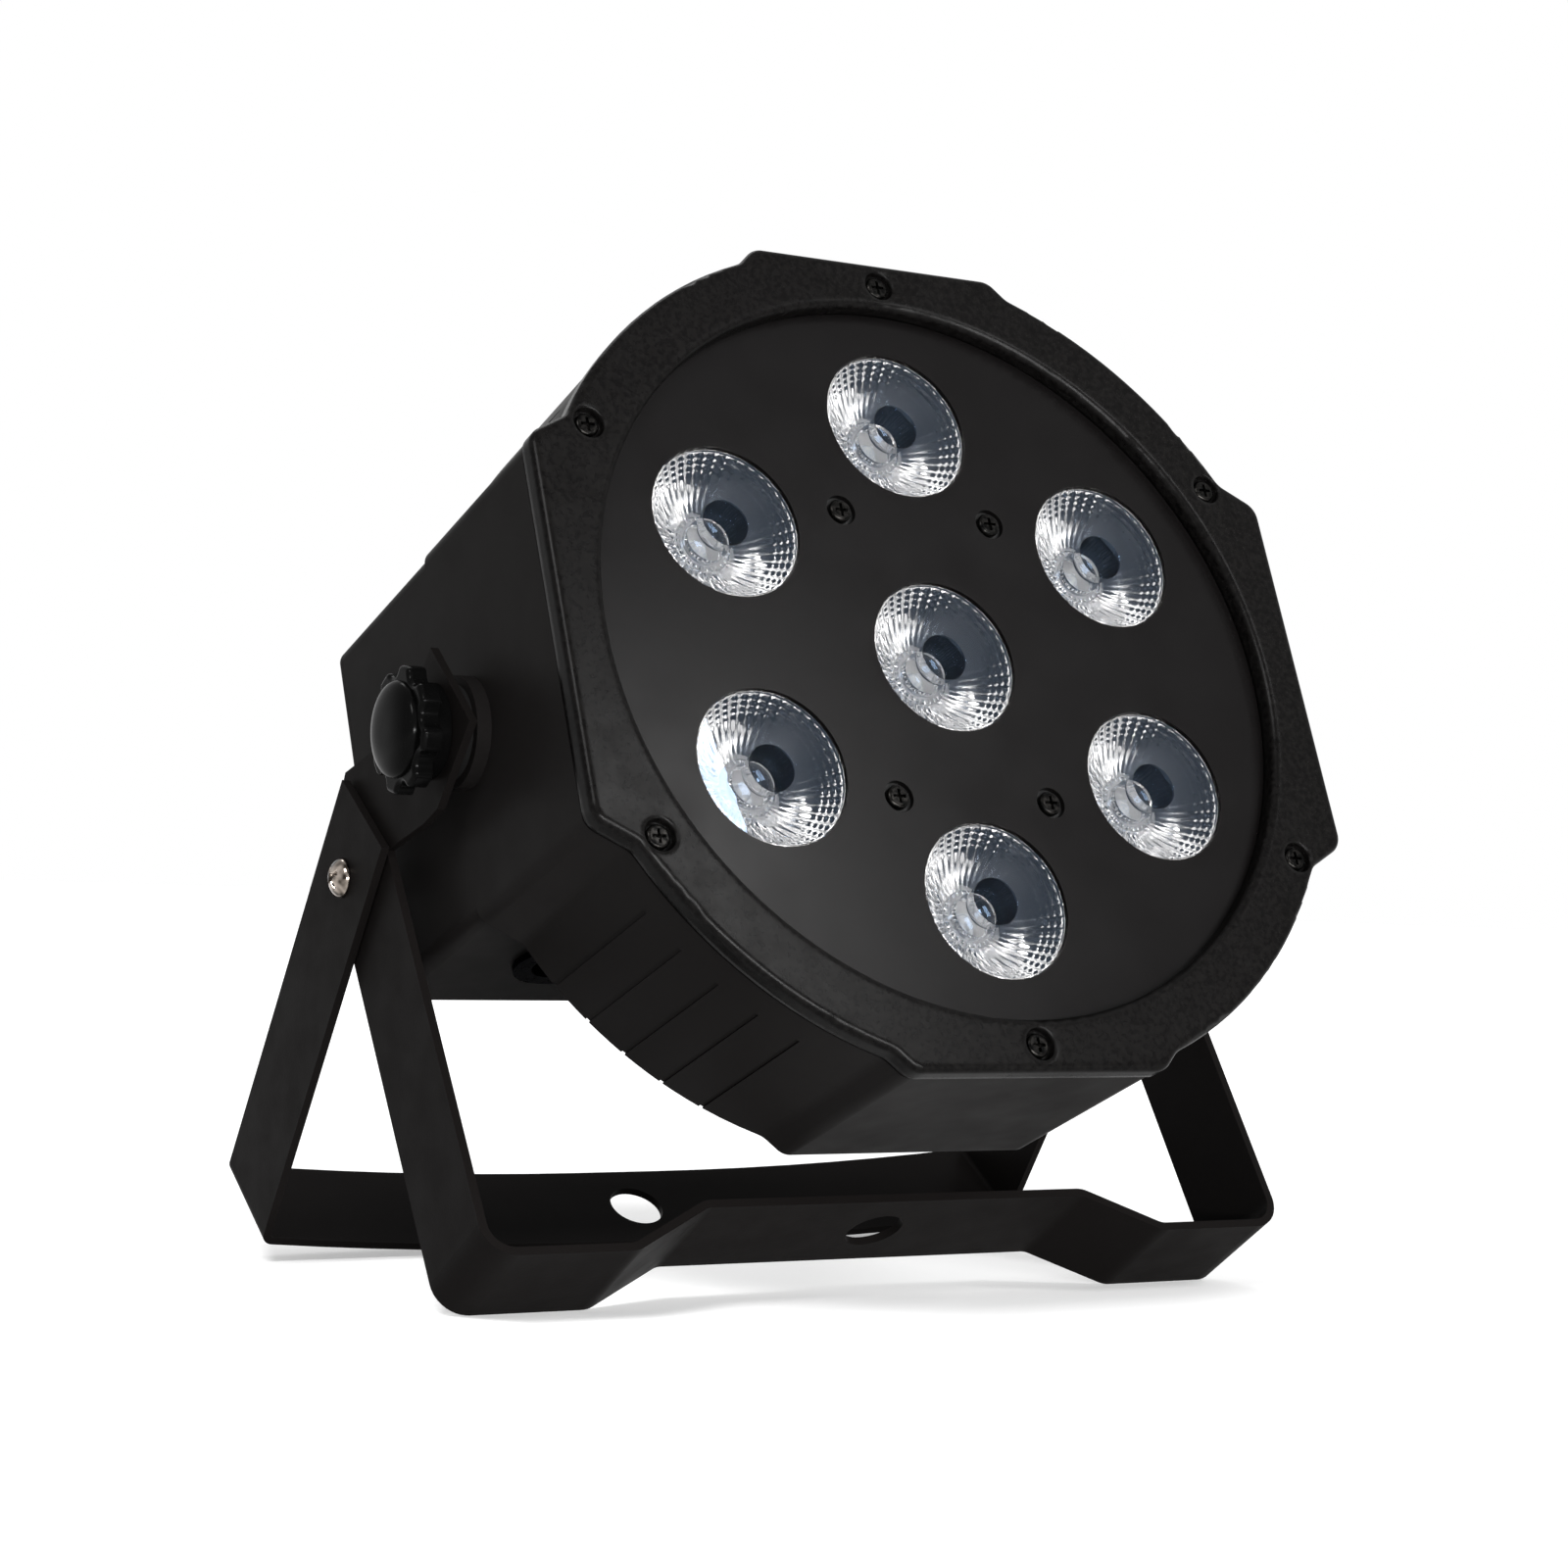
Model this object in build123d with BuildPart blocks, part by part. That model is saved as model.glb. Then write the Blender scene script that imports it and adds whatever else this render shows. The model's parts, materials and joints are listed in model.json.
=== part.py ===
from build123d import *
from math import acos, atan2, cos, degrees, hypot, radians, sin
import os

os.makedirs("parts", exist_ok=True)

# A par can light: a flat LED flood light whose head tilts between the arms of a front bracket. A second
# bracket swings on the first, so that the two stand on the floor as legs or fold together to hang.
# All sizes are in millimetres, and angles in degrees.

# ---------------------------------------------------------------- driving sizes
# Head: depths are measured back from the front face, and heights up along it
head_tilt = 23.3  # how far the front face looks up while the light stands on the floor
rim_radius = 105.3
tab_reach = 102.8  # from the middle to the top and bottom flats
tab_half_flat = 33.5
tab_flank = 10.0  # run and fall of the 45 degree flanks beside a top or bottom flat
side_reach = 102.1
side_half_flat = 46.0
side_flank_run = 20.0
side_flank_spread = 11.0
outline_corner = 5.2

bezel_thickness = 5.0
bezel_rail = 11.5  # least width of the bezel beside its round opening
bezel_groove_width = 1.2
bezel_groove_depth = 1.6
bezel_edge = 1.5
opening_edge = 1.6

plate_recess = 4.6  # the lens plate's front face behind the front face
plate_lip = 2.9  # how far the lens plate reaches behind the bezel
plate_thickness = 1.5
lens_play = 0.27  # round a lens in the lens plate
seat_clearance = 0.1  # between parts that are clamped face to face
slip = 0.3  # round a part that drops into its place

lens_inset = 29.8  # from the bezel's opening to the middles of the outer lenses
lens_front = 5.2
lens_rim = 18.8
lens_flange_lip = 1.7
lens_flange_thickness = 1.5
lens_depth = 19.8
lens_waist = 6.5
lens_front_well = 5.5
lens_front_well_depth = 9.0
lens_rear_well = 4.0
lens_rear_well_depth = 7.0

holder_wall = 1.3
holder_floor = 1.5
holder_window = 8.0

board_margin = 2.7  # round the outer lens holders
board_gap = 2.0  # between the lenses and their board
board_thickness = 1.6
emitter_side = 5.0
emitter_height = 1.0
emitter_dome = 2.2
sink_base = 3.0
sink_fin_height = 14.0
sink_fin = 2.0
sink_fin_pitch = 11.0
sink_fins = 15

wall = 2.5
housing_inset = 0.6  # how far the housing stands inside the bezel's outline
round_back = 60.0  # where the round section ends and the box begins
box_length = 50.8
box_half_height = 45.7
box_corner = 3.7
ledge_lap = 2.2  # behind the lens plate
ledge_thickness = 2.5
groove_pitch = 6.0
groove_count = 5
groove_middle = 47.75  # from the side towards the top
groove_width = 1.0
groove_depth = 0.5
groove_length = 45.0

cover_thickness = 2.6
cover_screw_inset = 6.3
vent_width = 2.4
vent_length = 44.0
vent_pitch = 5.5
vent_count = 7

bezel_side_screw_inset = 15.25
bezel_side_screw_rise = 49.65
bezel_top_screw_inset = 6.2
plate_screw_inset = 19.0  # from the circle of the outer lenses
plate_screw_angle = 60.0
screw_head = 2.9
screw_head_height = 1.8
screw_shaft = 1.45
screw_recess = 2.4  # depth of the counterbores in the bezel
counterbore = 3.85
screw_play = 0.05
screw_boss = 4.2
boss_length = 16.0
cross_length = 3.4
cross_width = 0.75
cross_depth = 1.1
standoff_radius = 5.0

# Controls on the rear cover
window_width = 46.0
window_height = 18.0
window_thickness = 1.5
window_rise = 12.0
display_height = 9.0
control_width = 104.0
control_height = 54.0
control_inset = 14.8  # in front of the rear cover
control_post = 3.0
control_post_spot = (46.0, 22.0)
button_pitch = 20.0
button_count = 4
button_drop = 14.0
button_radius = 3.6
button_play = 0.2
button_flange = 4.8
button_flange_thickness = 1.5
button_length = 11.2
button_proud = 1.8
button_travel = 0.8
switch_side = 6.0
switch_height = 3.5
switch_stem = 1.7

# Power supply under the top wall
power_board_width = 120.0
power_board_length = 27.0
power_board_inset = 45.8  # from its front edge to the rear cover
power_board_height = 20.0
power_post = 3.0
transformer_size = (28.0, 22.0, 24.0)
transformer_spot = -30.0
capacitor_radius = 6.5
capacitor_height = 22.0
capacitor_pitch = 16.0
capacitor_spot = 22.0

# Connectors in the underside of the box
connector_inset = 26.8  # in front of the rear cover
dmx_inset = 33.5  # from the side of the box
dmx_flange = 12.5
dmx_flange_thickness = 1.6
dmx_barrel = 10.9
dmx_barrel_length = 19.0
dmx_in_bore = 8.1
dmx_out_bore = 9.6
dmx_bore_depth = 16.0
dmx_pin = 1.2
dmx_pin_length = 9.5
dmx_pin_circle = 4.0
dmx_insert = 7.7
dmx_insert_recess = 2.0
dmx_contact = 1.35
dmx_contact_depth = 9.0
dmx_nut = 13.6
dmx_nut_thickness = 2.2
latch_width = 5.0
latch_height = 3.0
latch_spot = 16.5
latch_travel = 1.5
latch_stub = 1.1  # what still stands out when it is pressed
latch_play = 0.25
latch_foot = 1.6
inlet_spot = -12.0
inlet_flange = (48.0, 23.0)
inlet_flange_thickness = 2.0
inlet_body = (27.4, 19.8)
inlet_opening = (24.2, 16.6)
inlet_body_length = 20.0
inlet_depth = 17.0
inlet_corner = 2.5
inlet_pin = (2.0, 4.0)
inlet_pin_length = 12.0
inlet_pin_spread = 7.0
inlet_earth_rise = 3.0
inlet_screw = 20.0
fuse_spot = 34.0
fuse_flange = 8.0
fuse_flange_thickness = 1.5
fuse_barrel = 6.3
fuse_barrel_length = 30.0
fuse_bore = 5.2
fuse_radius = 2.6
fuse_length = 20.0
fuse_cap_height = 3.5
fuse_cap_plug = 4.0
fuse_play = 0.1

# Tilt pivot: its axis in the head, and what lies along it
pivot_depth = 52.0
pivot_rise = -3.6
pivot_bolt = 4.0
pivot_play = 0.08
pivot_boss = 13.0
pivot_boss_height = 3.5
insert_radius = 6.0
insert_length = 12.0
insert_boss = 9.5
friction_washer = 11.0
friction_washer_thickness = 2.9
knob_gap = 0.3
knob_flange = 11.0
knob_flange_height = 3.9
knob_radius = 14.5
knob_lobes = 8
knob_lobe_lean = 33.0  # of the uppermost lobe, forwards from straight up the face
knob_lobe_round = 1.5
knob_lobe_edge = 1.1
knob_scallop = 3.2
knob_scallop_outside = 0.9  # its middle beyond the knob's edge
knob_lobe_height = 4.6
knob_cap_inset = 3.7
knob_cap_height = 2.1
knob_cap_land = 0.2  # upright part of the cap's side, below its rounding
knob_bolt_in_knob = 8.0
knob_bolt_reach = 12.0  # thread beyond the bracket's inner face

# Front bracket, a bent steel strip whose side plates have three straight runs
steel = 2.0
tail_width = 27.6
neck_width = 25.0
arm_width = 28.7
tail_fall = 52.1
neck_fall = 17.8
arm_lean = 34.6
tail_before_pivot = 13.4
tail_after_pivot = 11.4
neck_length = 39.2
arm_length = 122.2
foot_bend = 7.0
foot_inside = 72.8
rise_inside = 52.3
rise_height = 10.0
rise_bend = 6.0
front_clamp_hole = 7.1

# Rear bracket, a plain strip that swings on two screws outside the front one
leg_screw_down = 12.1
leg_screw_back = 5.5
leg_screw = 2.5
leg_screw_head = 4.75
leg_screw_head_height = 3.0
leg_screw_play = 0.08
leg_gap = 0.5
leg_nut = 4.6
leg_nut_height = 3.8
leg_washer = 8.0
leg_washer_play = 0.05
leg_past_screw = 18.3
leg_shortfall = 10.9  # how far its bar folds short of the front bracket's foot
leg_width = 28.7
leg_bow = 5.5
leg_seat = 12.0  # half the flat round the clamp hole
leg_bend = 2.2
rear_clamp_hole = 7.3

# ---------------------------------------------------------------- places worked out from the sizes
tilt_cos, tilt_sin = cos(radians(head_tilt)), sin(radians(head_tilt))
bezel_opening = min(tab_reach, side_reach) - bezel_rail
plate_radius = bezel_opening + plate_lip
plate_back = plate_recess + plate_thickness
housing_front = bezel_thickness + bezel_groove_width
lens_hole = lens_rim + lens_play
lens_flange = lens_rim + lens_flange_lip
lens_circle = bezel_opening - lens_inset
lens_back = lens_front + lens_depth
board_radius = lens_circle + lens_flange + board_margin
board_depth = lens_back + board_gap
board_back = board_depth + board_thickness
sink_back = board_back + sink_base
box_half_width = side_reach - housing_inset
box_back = round_back + box_length
cover_back = box_back + cover_thickness
control_depth = box_back - control_inset
connector_depth = box_back - connector_inset
dmx_spot = box_half_width - dmx_inset
boss_face = box_half_width + pivot_boss_height
arm_inside = boss_face + friction_washer_thickness + seat_clearance
arm_outside = arm_inside + steel
leg_inside = arm_outside + leg_gap
leg_outside = leg_inside + steel


def heading(angle):
    """Unit step in a side view, with the angle measured up from straight back."""
    return Vector(cos(radians(angle)), sin(radians(angle)))


# Side view of the front bracket about the knob axis: X runs back and Y runs up
arm_up = heading(90 - arm_lean)
arm_back = heading(-arm_lean)
tail_end = -heading(-tail_fall) * tail_before_pivot
tail_bend = heading(-tail_fall) * tail_after_pivot
kink = tail_bend + heading(-neck_fall) * neck_length
foot_middle = kink - arm_up * arm_length
foot_heel = foot_middle + arm_back * (arm_width / 2)
leg_pivot = kink - arm_up * leg_screw_down + arm_back * leg_screw_back
pivot_height = -foot_heel.Y

# The rear bracket leans until the lower edge of its bowed crossbar meets the floor
leg_length = arm_length - leg_screw_down - leg_shortfall
leg_reach = leg_length + leg_bow
leg_pivot_height = pivot_height + leg_pivot.Y
leg_lean = degrees(
    atan2(leg_width / 2, leg_reach) + acos(leg_pivot_height / hypot(leg_reach, leg_width / 2))
)
leg_down = heading(leg_lean - 90)
leg_heel = leg_pivot + leg_down * leg_reach + heading(leg_lean) * (leg_width / 2)

# The origin is on the floor, half way between the lowest flat of the bezel and the rear bracket's heel
pivot_from_face = pivot_depth * tilt_cos + pivot_rise * tilt_sin
front_reach = -pivot_from_face - tab_reach * tilt_sin
pivot_y = -(front_reach + leg_heel.X) / 2
face_y = pivot_y - pivot_from_face
face_z = pivot_height + pivot_depth * tilt_sin - pivot_rise * tilt_cos

FRONT = Plane(origin=(0, face_y, face_z), x_dir=(1, 0, 0), z_dir=(0, -tilt_cos, tilt_sin))
SIDE = Plane(origin=(0, pivot_y, pivot_height), x_dir=(0, 1, 0), z_dir=(1, 0, 0))
BACKWARD = Axis(FRONT.origin, -FRONT.z_dir)
OUTWARD = Axis(SIDE.origin, SIDE.z_dir)


def behind(depth):
    """Plane parallel to the front face and looking forward, at a depth in the head."""
    return FRONT.offset(-depth)


def in_head(x, height, depth):
    """Point of the head from its distance to the right, up the face and behind it."""
    return FRONT.from_local_coords((x, height, -depth))


HEAD_SIDE = Plane(origin=in_head(0, pivot_rise, pivot_depth), x_dir=-FRONT.z_dir, z_dir=(1, 0, 0))
UNDERSIDE = Plane(
    origin=in_head(0, -box_half_height, connector_depth), x_dir=(1, 0, 0), z_dir=-FRONT.y_dir
)
FOOT = Plane(
    origin=SIDE.from_local_coords(foot_middle), x_dir=(1, 0, 0), z_dir=(0, -arm_back.X, -arm_back.Y)
)
LEG = Plane(
    origin=SIDE.from_local_coords(leg_pivot), x_dir=(1, 0, 0), z_dir=(0, leg_down.Y, -leg_down.X)
)
LEG_SIDE = Plane(origin=LEG.origin, x_dir=(0, 1, 0), z_dir=(1, 0, 0))

lens_spots = [(0.0, 0.0)] + [
    (lens_circle * cos(radians(angle)), lens_circle * sin(radians(angle)))
    for angle in range(90, 450, 60)
]
bezel_screw_x = side_reach - bezel_side_screw_inset
bezel_screw_spots = [(0, y * (tab_reach - bezel_top_screw_inset)) for y in (1, -1)] + [
    (x, y)
    for x in (-bezel_screw_x, bezel_screw_x)
    for y in (-bezel_side_screw_rise, bezel_side_screw_rise)
]
plate_screw_circle = lens_circle - plate_screw_inset
plate_screw_x = plate_screw_circle * cos(radians(plate_screw_angle))
plate_screw_y = plate_screw_circle * sin(radians(plate_screw_angle))
plate_screw_spots = [
    (x, y) for x in (-plate_screw_x, plate_screw_x) for y in (-plate_screw_y, plate_screw_y)
]
cover_screw_x = box_half_width - cover_screw_inset
cover_screw_y = box_half_height - cover_screw_inset
cover_screw_spots = [
    (x, y) for x in (-cover_screw_x, cover_screw_x) for y in (-cover_screw_y, cover_screw_y)
]
control_post_spots = [
    (x, y)
    for x in (-control_post_spot[0], control_post_spot[0])
    for y in (-control_post_spot[1], control_post_spot[1])
]
button_spots = [
    ((n - (button_count - 1) / 2) * button_pitch, -button_drop) for n in range(button_count)
]
vent_middle = (button_spots[-1][0] + button_radius + cover_screw_x) / 2  # midway to the screws


# ---------------------------------------------------------------- shapes used more than once
def tab_points(reach, half_flat, fall, spread):
    """Corners of one tab: a flat at its reach, and flanks that run to their nearest to the middle."""
    flank = Vector(spread, -fall).normalized()
    start = Vector(half_flat, reach)
    end = start - flank * start.dot(flank)
    return [(-half_flat, reach), (half_flat, reach), (end.X, end.Y), (-end.X, end.Y)]


with BuildSketch() as head_outline:  # the outline that the bezel and the housing share
    Circle(rim_radius)
    with PolarLocations(0, 2):
        Polygon(*tab_points(tab_reach, tab_half_flat, tab_flank, tab_flank), align=None)
    with PolarLocations(0, 2, start_angle=90):
        Polygon(
            *tab_points(side_reach, side_half_flat, side_flank_run, side_flank_spread), align=None
        )
    Rectangle(2 * side_reach, 2 * tab_reach, mode=Mode.INTERSECT)
    fillet(head_outline.vertices(), outline_corner)


def cross_head_screws(plane, spots, head, head_height, shaft, shaft_length):
    """Pan-head screws whose heads stand on the plane and whose shafts run behind it."""
    with BuildSketch(plane) as heads:
        with Locations(*spots):
            Circle(head)
    with BuildSketch(plane.offset(head_height)) as crosses:
        with Locations(*spots):
            Rectangle(cross_length, cross_width)
            Rectangle(cross_width, cross_length)
    with BuildSketch(plane) as shafts:
        with Locations(*spots):
            Circle(shaft)
    screws = extrude(heads.sketch, amount=head_height)
    crowns = screws.edges().group_by(Axis(plane.origin, plane.z_dir))[-1]
    fillet(crowns, head_height * 0.45)
    extrude(crosses.sketch, amount=-cross_depth, mode=Mode.SUBTRACT)
    extrude(shafts.sketch, amount=-shaft_length)


def strip_face(*corners):
    """One straight-sided face of the sketch in hand."""
    with BuildLine() as edge:
        Polyline(*corners, close=True)
    make_face(edge.edges())


def side_strip(points, widths):
    """A flat strip along the points of a side view: mitred inside each bend, bevelled outside it."""
    last_step = None
    for start, end, width in zip(points, points[1:], widths):
        step = (end - start).normalized()
        across = Vector(-step.Y, step.X) * (width / 2)
        strip_face(start + across, end + across, end - across, start - across)
        if last_step is not None:
            outer = -1 if last_step.X * step.Y - last_step.Y * step.X > 0 else 1
            strip_face(start, start + last_across * outer, start + across * outer)
        last_step, last_across = step, across


def lens_section(spot):
    """Plane through a lens's axis: X runs out from the axis and Y runs forward."""
    return Plane(origin=in_head(spot[0], spot[1], 0), x_dir=(1, 0, 0), z_dir=-FRONT.y_dir)


# ---------------------------------------------------------------- front of the head
with BuildPart() as front_bezel:
    with BuildSketch(behind(bezel_thickness)):
        add(head_outline.sketch)
        Circle(bezel_opening, mode=Mode.SUBTRACT)
    extrude(amount=bezel_thickness)
    front = front_bezel.faces().sort_by(BACKWARD)[0]
    fillet(front.outer_wire().edges(), bezel_edge)
    fillet(front_bezel.faces().sort_by(BACKWARD)[0].inner_wires()[0].edges(), opening_edge)
    with BuildSketch(behind(housing_front)):
        add(head_outline.sketch)
        offset(amount=-bezel_groove_depth)
        Circle(plate_radius, mode=Mode.SUBTRACT)
    extrude(amount=bezel_groove_width)
    with BuildSketch(behind(housing_front)):
        Circle(plate_radius + slip)
    extrude(amount=housing_front - plate_recess, mode=Mode.SUBTRACT)
    with BuildSketch(FRONT):
        with Locations(*bezel_screw_spots):
            Circle(counterbore)
    extrude(amount=-screw_recess, mode=Mode.SUBTRACT)
    with BuildSketch(FRONT):
        with Locations(*bezel_screw_spots):
            Circle(screw_shaft + slip)
    extrude(amount=-housing_front, mode=Mode.SUBTRACT)
front_bezel.part.label = "front_bezel"
export_step(front_bezel.part, "parts/front_bezel.step")

with BuildPart() as bezel_screws:
    cross_head_screws(
        behind(screw_recess), bezel_screw_spots, screw_head, screw_head_height, screw_shaft, boss_length
    )
bezel_screws.part.label = "bezel_screws"
export_step(bezel_screws.part, "parts/bezel_screws.step")

with BuildPart() as lens_plate:
    with BuildSketch(behind(plate_back)):
        Circle(plate_radius)
        with Locations(*lens_spots):
            Circle(lens_hole, mode=Mode.SUBTRACT)
        with Locations(*plate_screw_spots):
            Circle(counterbore, mode=Mode.SUBTRACT)
    extrude(amount=plate_thickness)
lens_plate.part.label = "lens_plate"
export_step(lens_plate.part, "parts/lens_plate.step")

with BuildPart() as plate_screws:
    cross_head_screws(
        behind(plate_back),
        plate_screw_spots,
        screw_head,
        screw_head_height,
        screw_shaft,
        board_back + sink_base - plate_back,
    )
plate_screws.part.label = "plate_screws"
export_step(plate_screws.part, "parts/plate_screws.step")

# Each lens collects its emitter's light: a well at both ends, and a curved flank that mirrors inside
flange_front = plate_back + seat_clearance
flange_back = flange_front + lens_flange_thickness
for number, spot in enumerate(lens_spots):
    with BuildPart() as lens:
        with BuildSketch(lens_section(spot)):
            with BuildLine():
                Polyline(
                    (0, -lens_front - lens_front_well_depth),
                    (lens_front_well, -lens_front - lens_front_well_depth),
                    (lens_front_well, -lens_front),
                    (lens_rim, -lens_front),
                    (lens_rim, -flange_front),
                    (lens_flange, -flange_front),
                    (lens_flange, -flange_back),
                    (lens_rim, -flange_back),
                )
                ThreePointArc(
                    (lens_rim, -flange_back),
                    (
                        (lens_rim + lens_waist) * 0.58,
                        -(flange_back + lens_back) * 0.53,
                    ),
                    (lens_waist, -lens_back),
                )
                Polyline(
                    (lens_waist, -lens_back),
                    (lens_rear_well, -lens_back),
                    (lens_rear_well, -lens_back + lens_rear_well_depth),
                    (0, -lens_back + lens_rear_well_depth),
                    (0, -lens_front - lens_front_well_depth),
                )
            make_face()
        revolve(axis=Axis(in_head(spot[0], spot[1], 0), FRONT.z_dir))
    lens.part.label = f"lens_{number}"
    export_step(lens.part, f"parts/lens_{number}.step")

    with BuildPart() as lens_holder:
        with BuildSketch(behind(board_depth - seat_clearance)):
            with Locations(spot):
                Circle(lens_flange)
                Circle(lens_flange - holder_wall, mode=Mode.SUBTRACT)
        extrude(amount=board_depth - flange_back - 2 * seat_clearance)
        with BuildSketch(behind(board_depth - seat_clearance)):
            with Locations(spot):
                Circle(lens_flange)
                Circle(holder_window, mode=Mode.SUBTRACT)
        extrude(amount=holder_floor)
    lens_holder.part.label = f"lens_holder_{number}"
    export_step(lens_holder.part, f"parts/lens_holder_{number}.step")

with BuildPart() as led_board:
    with BuildSketch(behind(board_back)):
        Circle(board_radius)
        with Locations(*plate_screw_spots):
            Circle(screw_shaft + slip, mode=Mode.SUBTRACT)
    extrude(amount=board_thickness)
led_board.part.label = "led_board"
export_step(led_board.part, "parts/led_board.step")

with BuildPart(behind(board_depth)) as led_emitters:
    with Locations(*lens_spots):
        Box(
            emitter_side,
            emitter_side,
            emitter_height,
            align=(Align.CENTER, Align.CENTER, Align.MIN),
        )
    with Locations(*[(x, y, emitter_height) for x, y in lens_spots]):
        Sphere(emitter_dome, arc_size1=0, align=(Align.CENTER, Align.CENTER, Align.MIN))
led_emitters.part.label = "led_emitters"
export_step(led_emitters.part, "parts/led_emitters.step")

with BuildPart() as plate_standoffs:
    with BuildSketch(behind(board_depth - seat_clearance)):
        with Locations(*plate_screw_spots):
            Circle(standoff_radius)
            Circle(screw_shaft + screw_play, mode=Mode.SUBTRACT)
    extrude(amount=board_depth - plate_back - seat_clearance)
plate_standoffs.part.label = "plate_standoffs"
export_step(plate_standoffs.part, "parts/plate_standoffs.step")

with BuildPart() as heat_sink:
    with BuildSketch(behind(sink_back)):
        Circle(board_radius)
        with Locations(*plate_screw_spots):
            Circle(screw_shaft + screw_play, mode=Mode.SUBTRACT)
    extrude(amount=sink_base - seat_clearance)
    with BuildSketch(behind(sink_back + sink_fin_height)):
        with GridLocations(sink_fin_pitch, 1, sink_fins, 1):
            Rectangle(sink_fin, 2 * board_radius)
        Circle(board_radius - slip, mode=Mode.INTERSECT)
    extrude(amount=sink_fin_height)
heat_sink.part.label = "heat_sink"
export_step(heat_sink.part, "parts/heat_sink.step")

# ---------------------------------------------------------------- housing
insert_front = boss_face - steel
insert_back = insert_front - insert_length
power_board_front = box_back - power_board_inset
power_board_middle = power_board_front + power_board_length / 2
power_posts = [
    (x, -depth)
    for x in (-power_board_width / 2 + 2 * power_post, power_board_width / 2 - 2 * power_post)
    for depth in (
        power_board_front + 1.5 * power_post,
        power_board_front + power_board_length - 1.5 * power_post,
    )
]
POWER = Plane(  # on top of the power board, looking down
    origin=in_head(0, power_board_height + board_thickness, 0), x_dir=(1, 0, 0), z_dir=-FRONT.y_dir
)

with BuildPart() as housing:
    with BuildSketch(behind(round_back)):
        add(head_outline.sketch)
        offset(amount=-housing_inset)
    extrude(amount=round_back - housing_front - seat_clearance)
    with BuildSketch(behind(box_back)):
        RectangleRounded(2 * box_half_width, 2 * box_half_height, box_corner)
    extrude(amount=box_back - round_back)
    with BuildSketch(behind(round_back - wall)):
        add(head_outline.sketch)
        offset(amount=-housing_inset - wall)
    extrude(amount=round_back - wall - housing_front - seat_clearance, mode=Mode.SUBTRACT)
    with BuildSketch(behind(box_back)):
        RectangleRounded(
            2 * (box_half_width - wall), 2 * (box_half_height - wall), box_corner - wall / 2
        )
    extrude(amount=box_back - round_back + wall, mode=Mode.SUBTRACT)
    # grooves along the four curved stretches of the round wall
    with BuildSketch(behind(round_back)):
        for middle in (groove_middle, 180 - groove_middle, 180 + groove_middle, -groove_middle):
            with PolarLocations(
                rim_radius - housing_inset,
                groove_count,
                start_angle=middle - groove_pitch * (groove_count - 1) / 2,
                angular_range=groove_pitch * (groove_count - 1),
                endpoint=True,
            ):
                Rectangle(2 * groove_depth, groove_width)
    extrude(amount=groove_length, mode=Mode.SUBTRACT)
    # ledge behind the lens plate
    with BuildSketch(behind(housing_front + seat_clearance + ledge_thickness)):
        add(head_outline.sketch)
        offset(amount=-housing_inset - wall / 2)
        Circle(plate_radius - ledge_lap, mode=Mode.SUBTRACT)
    extrude(amount=ledge_thickness)
    # bosses for the bezel's screws
    with BuildSketch(behind(screw_recess + boss_length + wall)):
        with Locations(*bezel_screw_spots):
            Circle(screw_boss)
    extrude(amount=screw_recess + boss_length + wall - housing_front - seat_clearance)
    with BuildSketch(behind(screw_recess + boss_length + wall / 2)):
        with Locations(*bezel_screw_spots):
            Circle(screw_shaft + screw_play)
    extrude(amount=screw_recess + boss_length, mode=Mode.SUBTRACT)
    # bosses for the rear cover's screws
    with BuildSketch(behind(box_back)):
        with Locations(*cover_screw_spots):
            Circle(screw_boss)
    extrude(amount=boss_length)
    with BuildSketch(behind(box_back)):
        with Locations(*cover_screw_spots):
            Circle(screw_shaft + screw_play)
    extrude(amount=boss_length - wall, mode=Mode.SUBTRACT)
    # pivot bosses, outside and inside the side walls
    with BuildSketch(HEAD_SIDE.offset(insert_back)):
        Circle(insert_boss)
    extrude(amount=box_half_width - insert_back)
    with BuildSketch(HEAD_SIDE.offset(box_half_width - wall / 2)):
        Circle(pivot_boss)
    extrude(amount=pivot_boss_height + wall / 2)
    with BuildSketch(HEAD_SIDE.offset(insert_back)):
        Circle(pivot_bolt + slip)
    extrude(amount=insert_length + steel + slip, mode=Mode.SUBTRACT)
    with BuildSketch(HEAD_SIDE.offset(insert_back)):
        Circle(insert_radius + screw_play)
    extrude(amount=insert_length, mode=Mode.SUBTRACT)
    with BuildSketch(HEAD_SIDE.offset(-insert_back)):
        Circle(insert_boss)
    extrude(amount=-(box_half_width - insert_back))
    with BuildSketch(HEAD_SIDE.offset(-(box_half_width - wall / 2))):
        Circle(pivot_boss)
    extrude(amount=-(pivot_boss_height + wall / 2))
    with BuildSketch(HEAD_SIDE.offset(-insert_back)):
        Circle(pivot_bolt + slip)
    extrude(amount=-(insert_length + steel + slip), mode=Mode.SUBTRACT)
    with BuildSketch(HEAD_SIDE.offset(-insert_back)):
        Circle(insert_radius + screw_play)
    extrude(amount=-insert_length, mode=Mode.SUBTRACT)
    # openings in the underside
    with BuildSketch(UNDERSIDE):
        with Locations((-dmx_spot, 0), (dmx_spot, 0)):
            Circle(dmx_barrel + screw_play)
        with Locations((dmx_spot, latch_spot)):
            Rectangle(latch_width + 2 * latch_play, latch_height + 2 * latch_play)
        with Locations((inlet_spot, 0)):
            Rectangle(inlet_body[0] + 2 * screw_play, inlet_body[1] + 2 * screw_play)
        with Locations((inlet_spot - inlet_screw, 0), (inlet_spot + inlet_screw, 0)):
            Circle(screw_shaft + screw_play)
        with Locations((fuse_spot, 0)):
            Circle(fuse_barrel + screw_play)
    extrude(amount=-2 * wall, mode=Mode.SUBTRACT)
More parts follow.
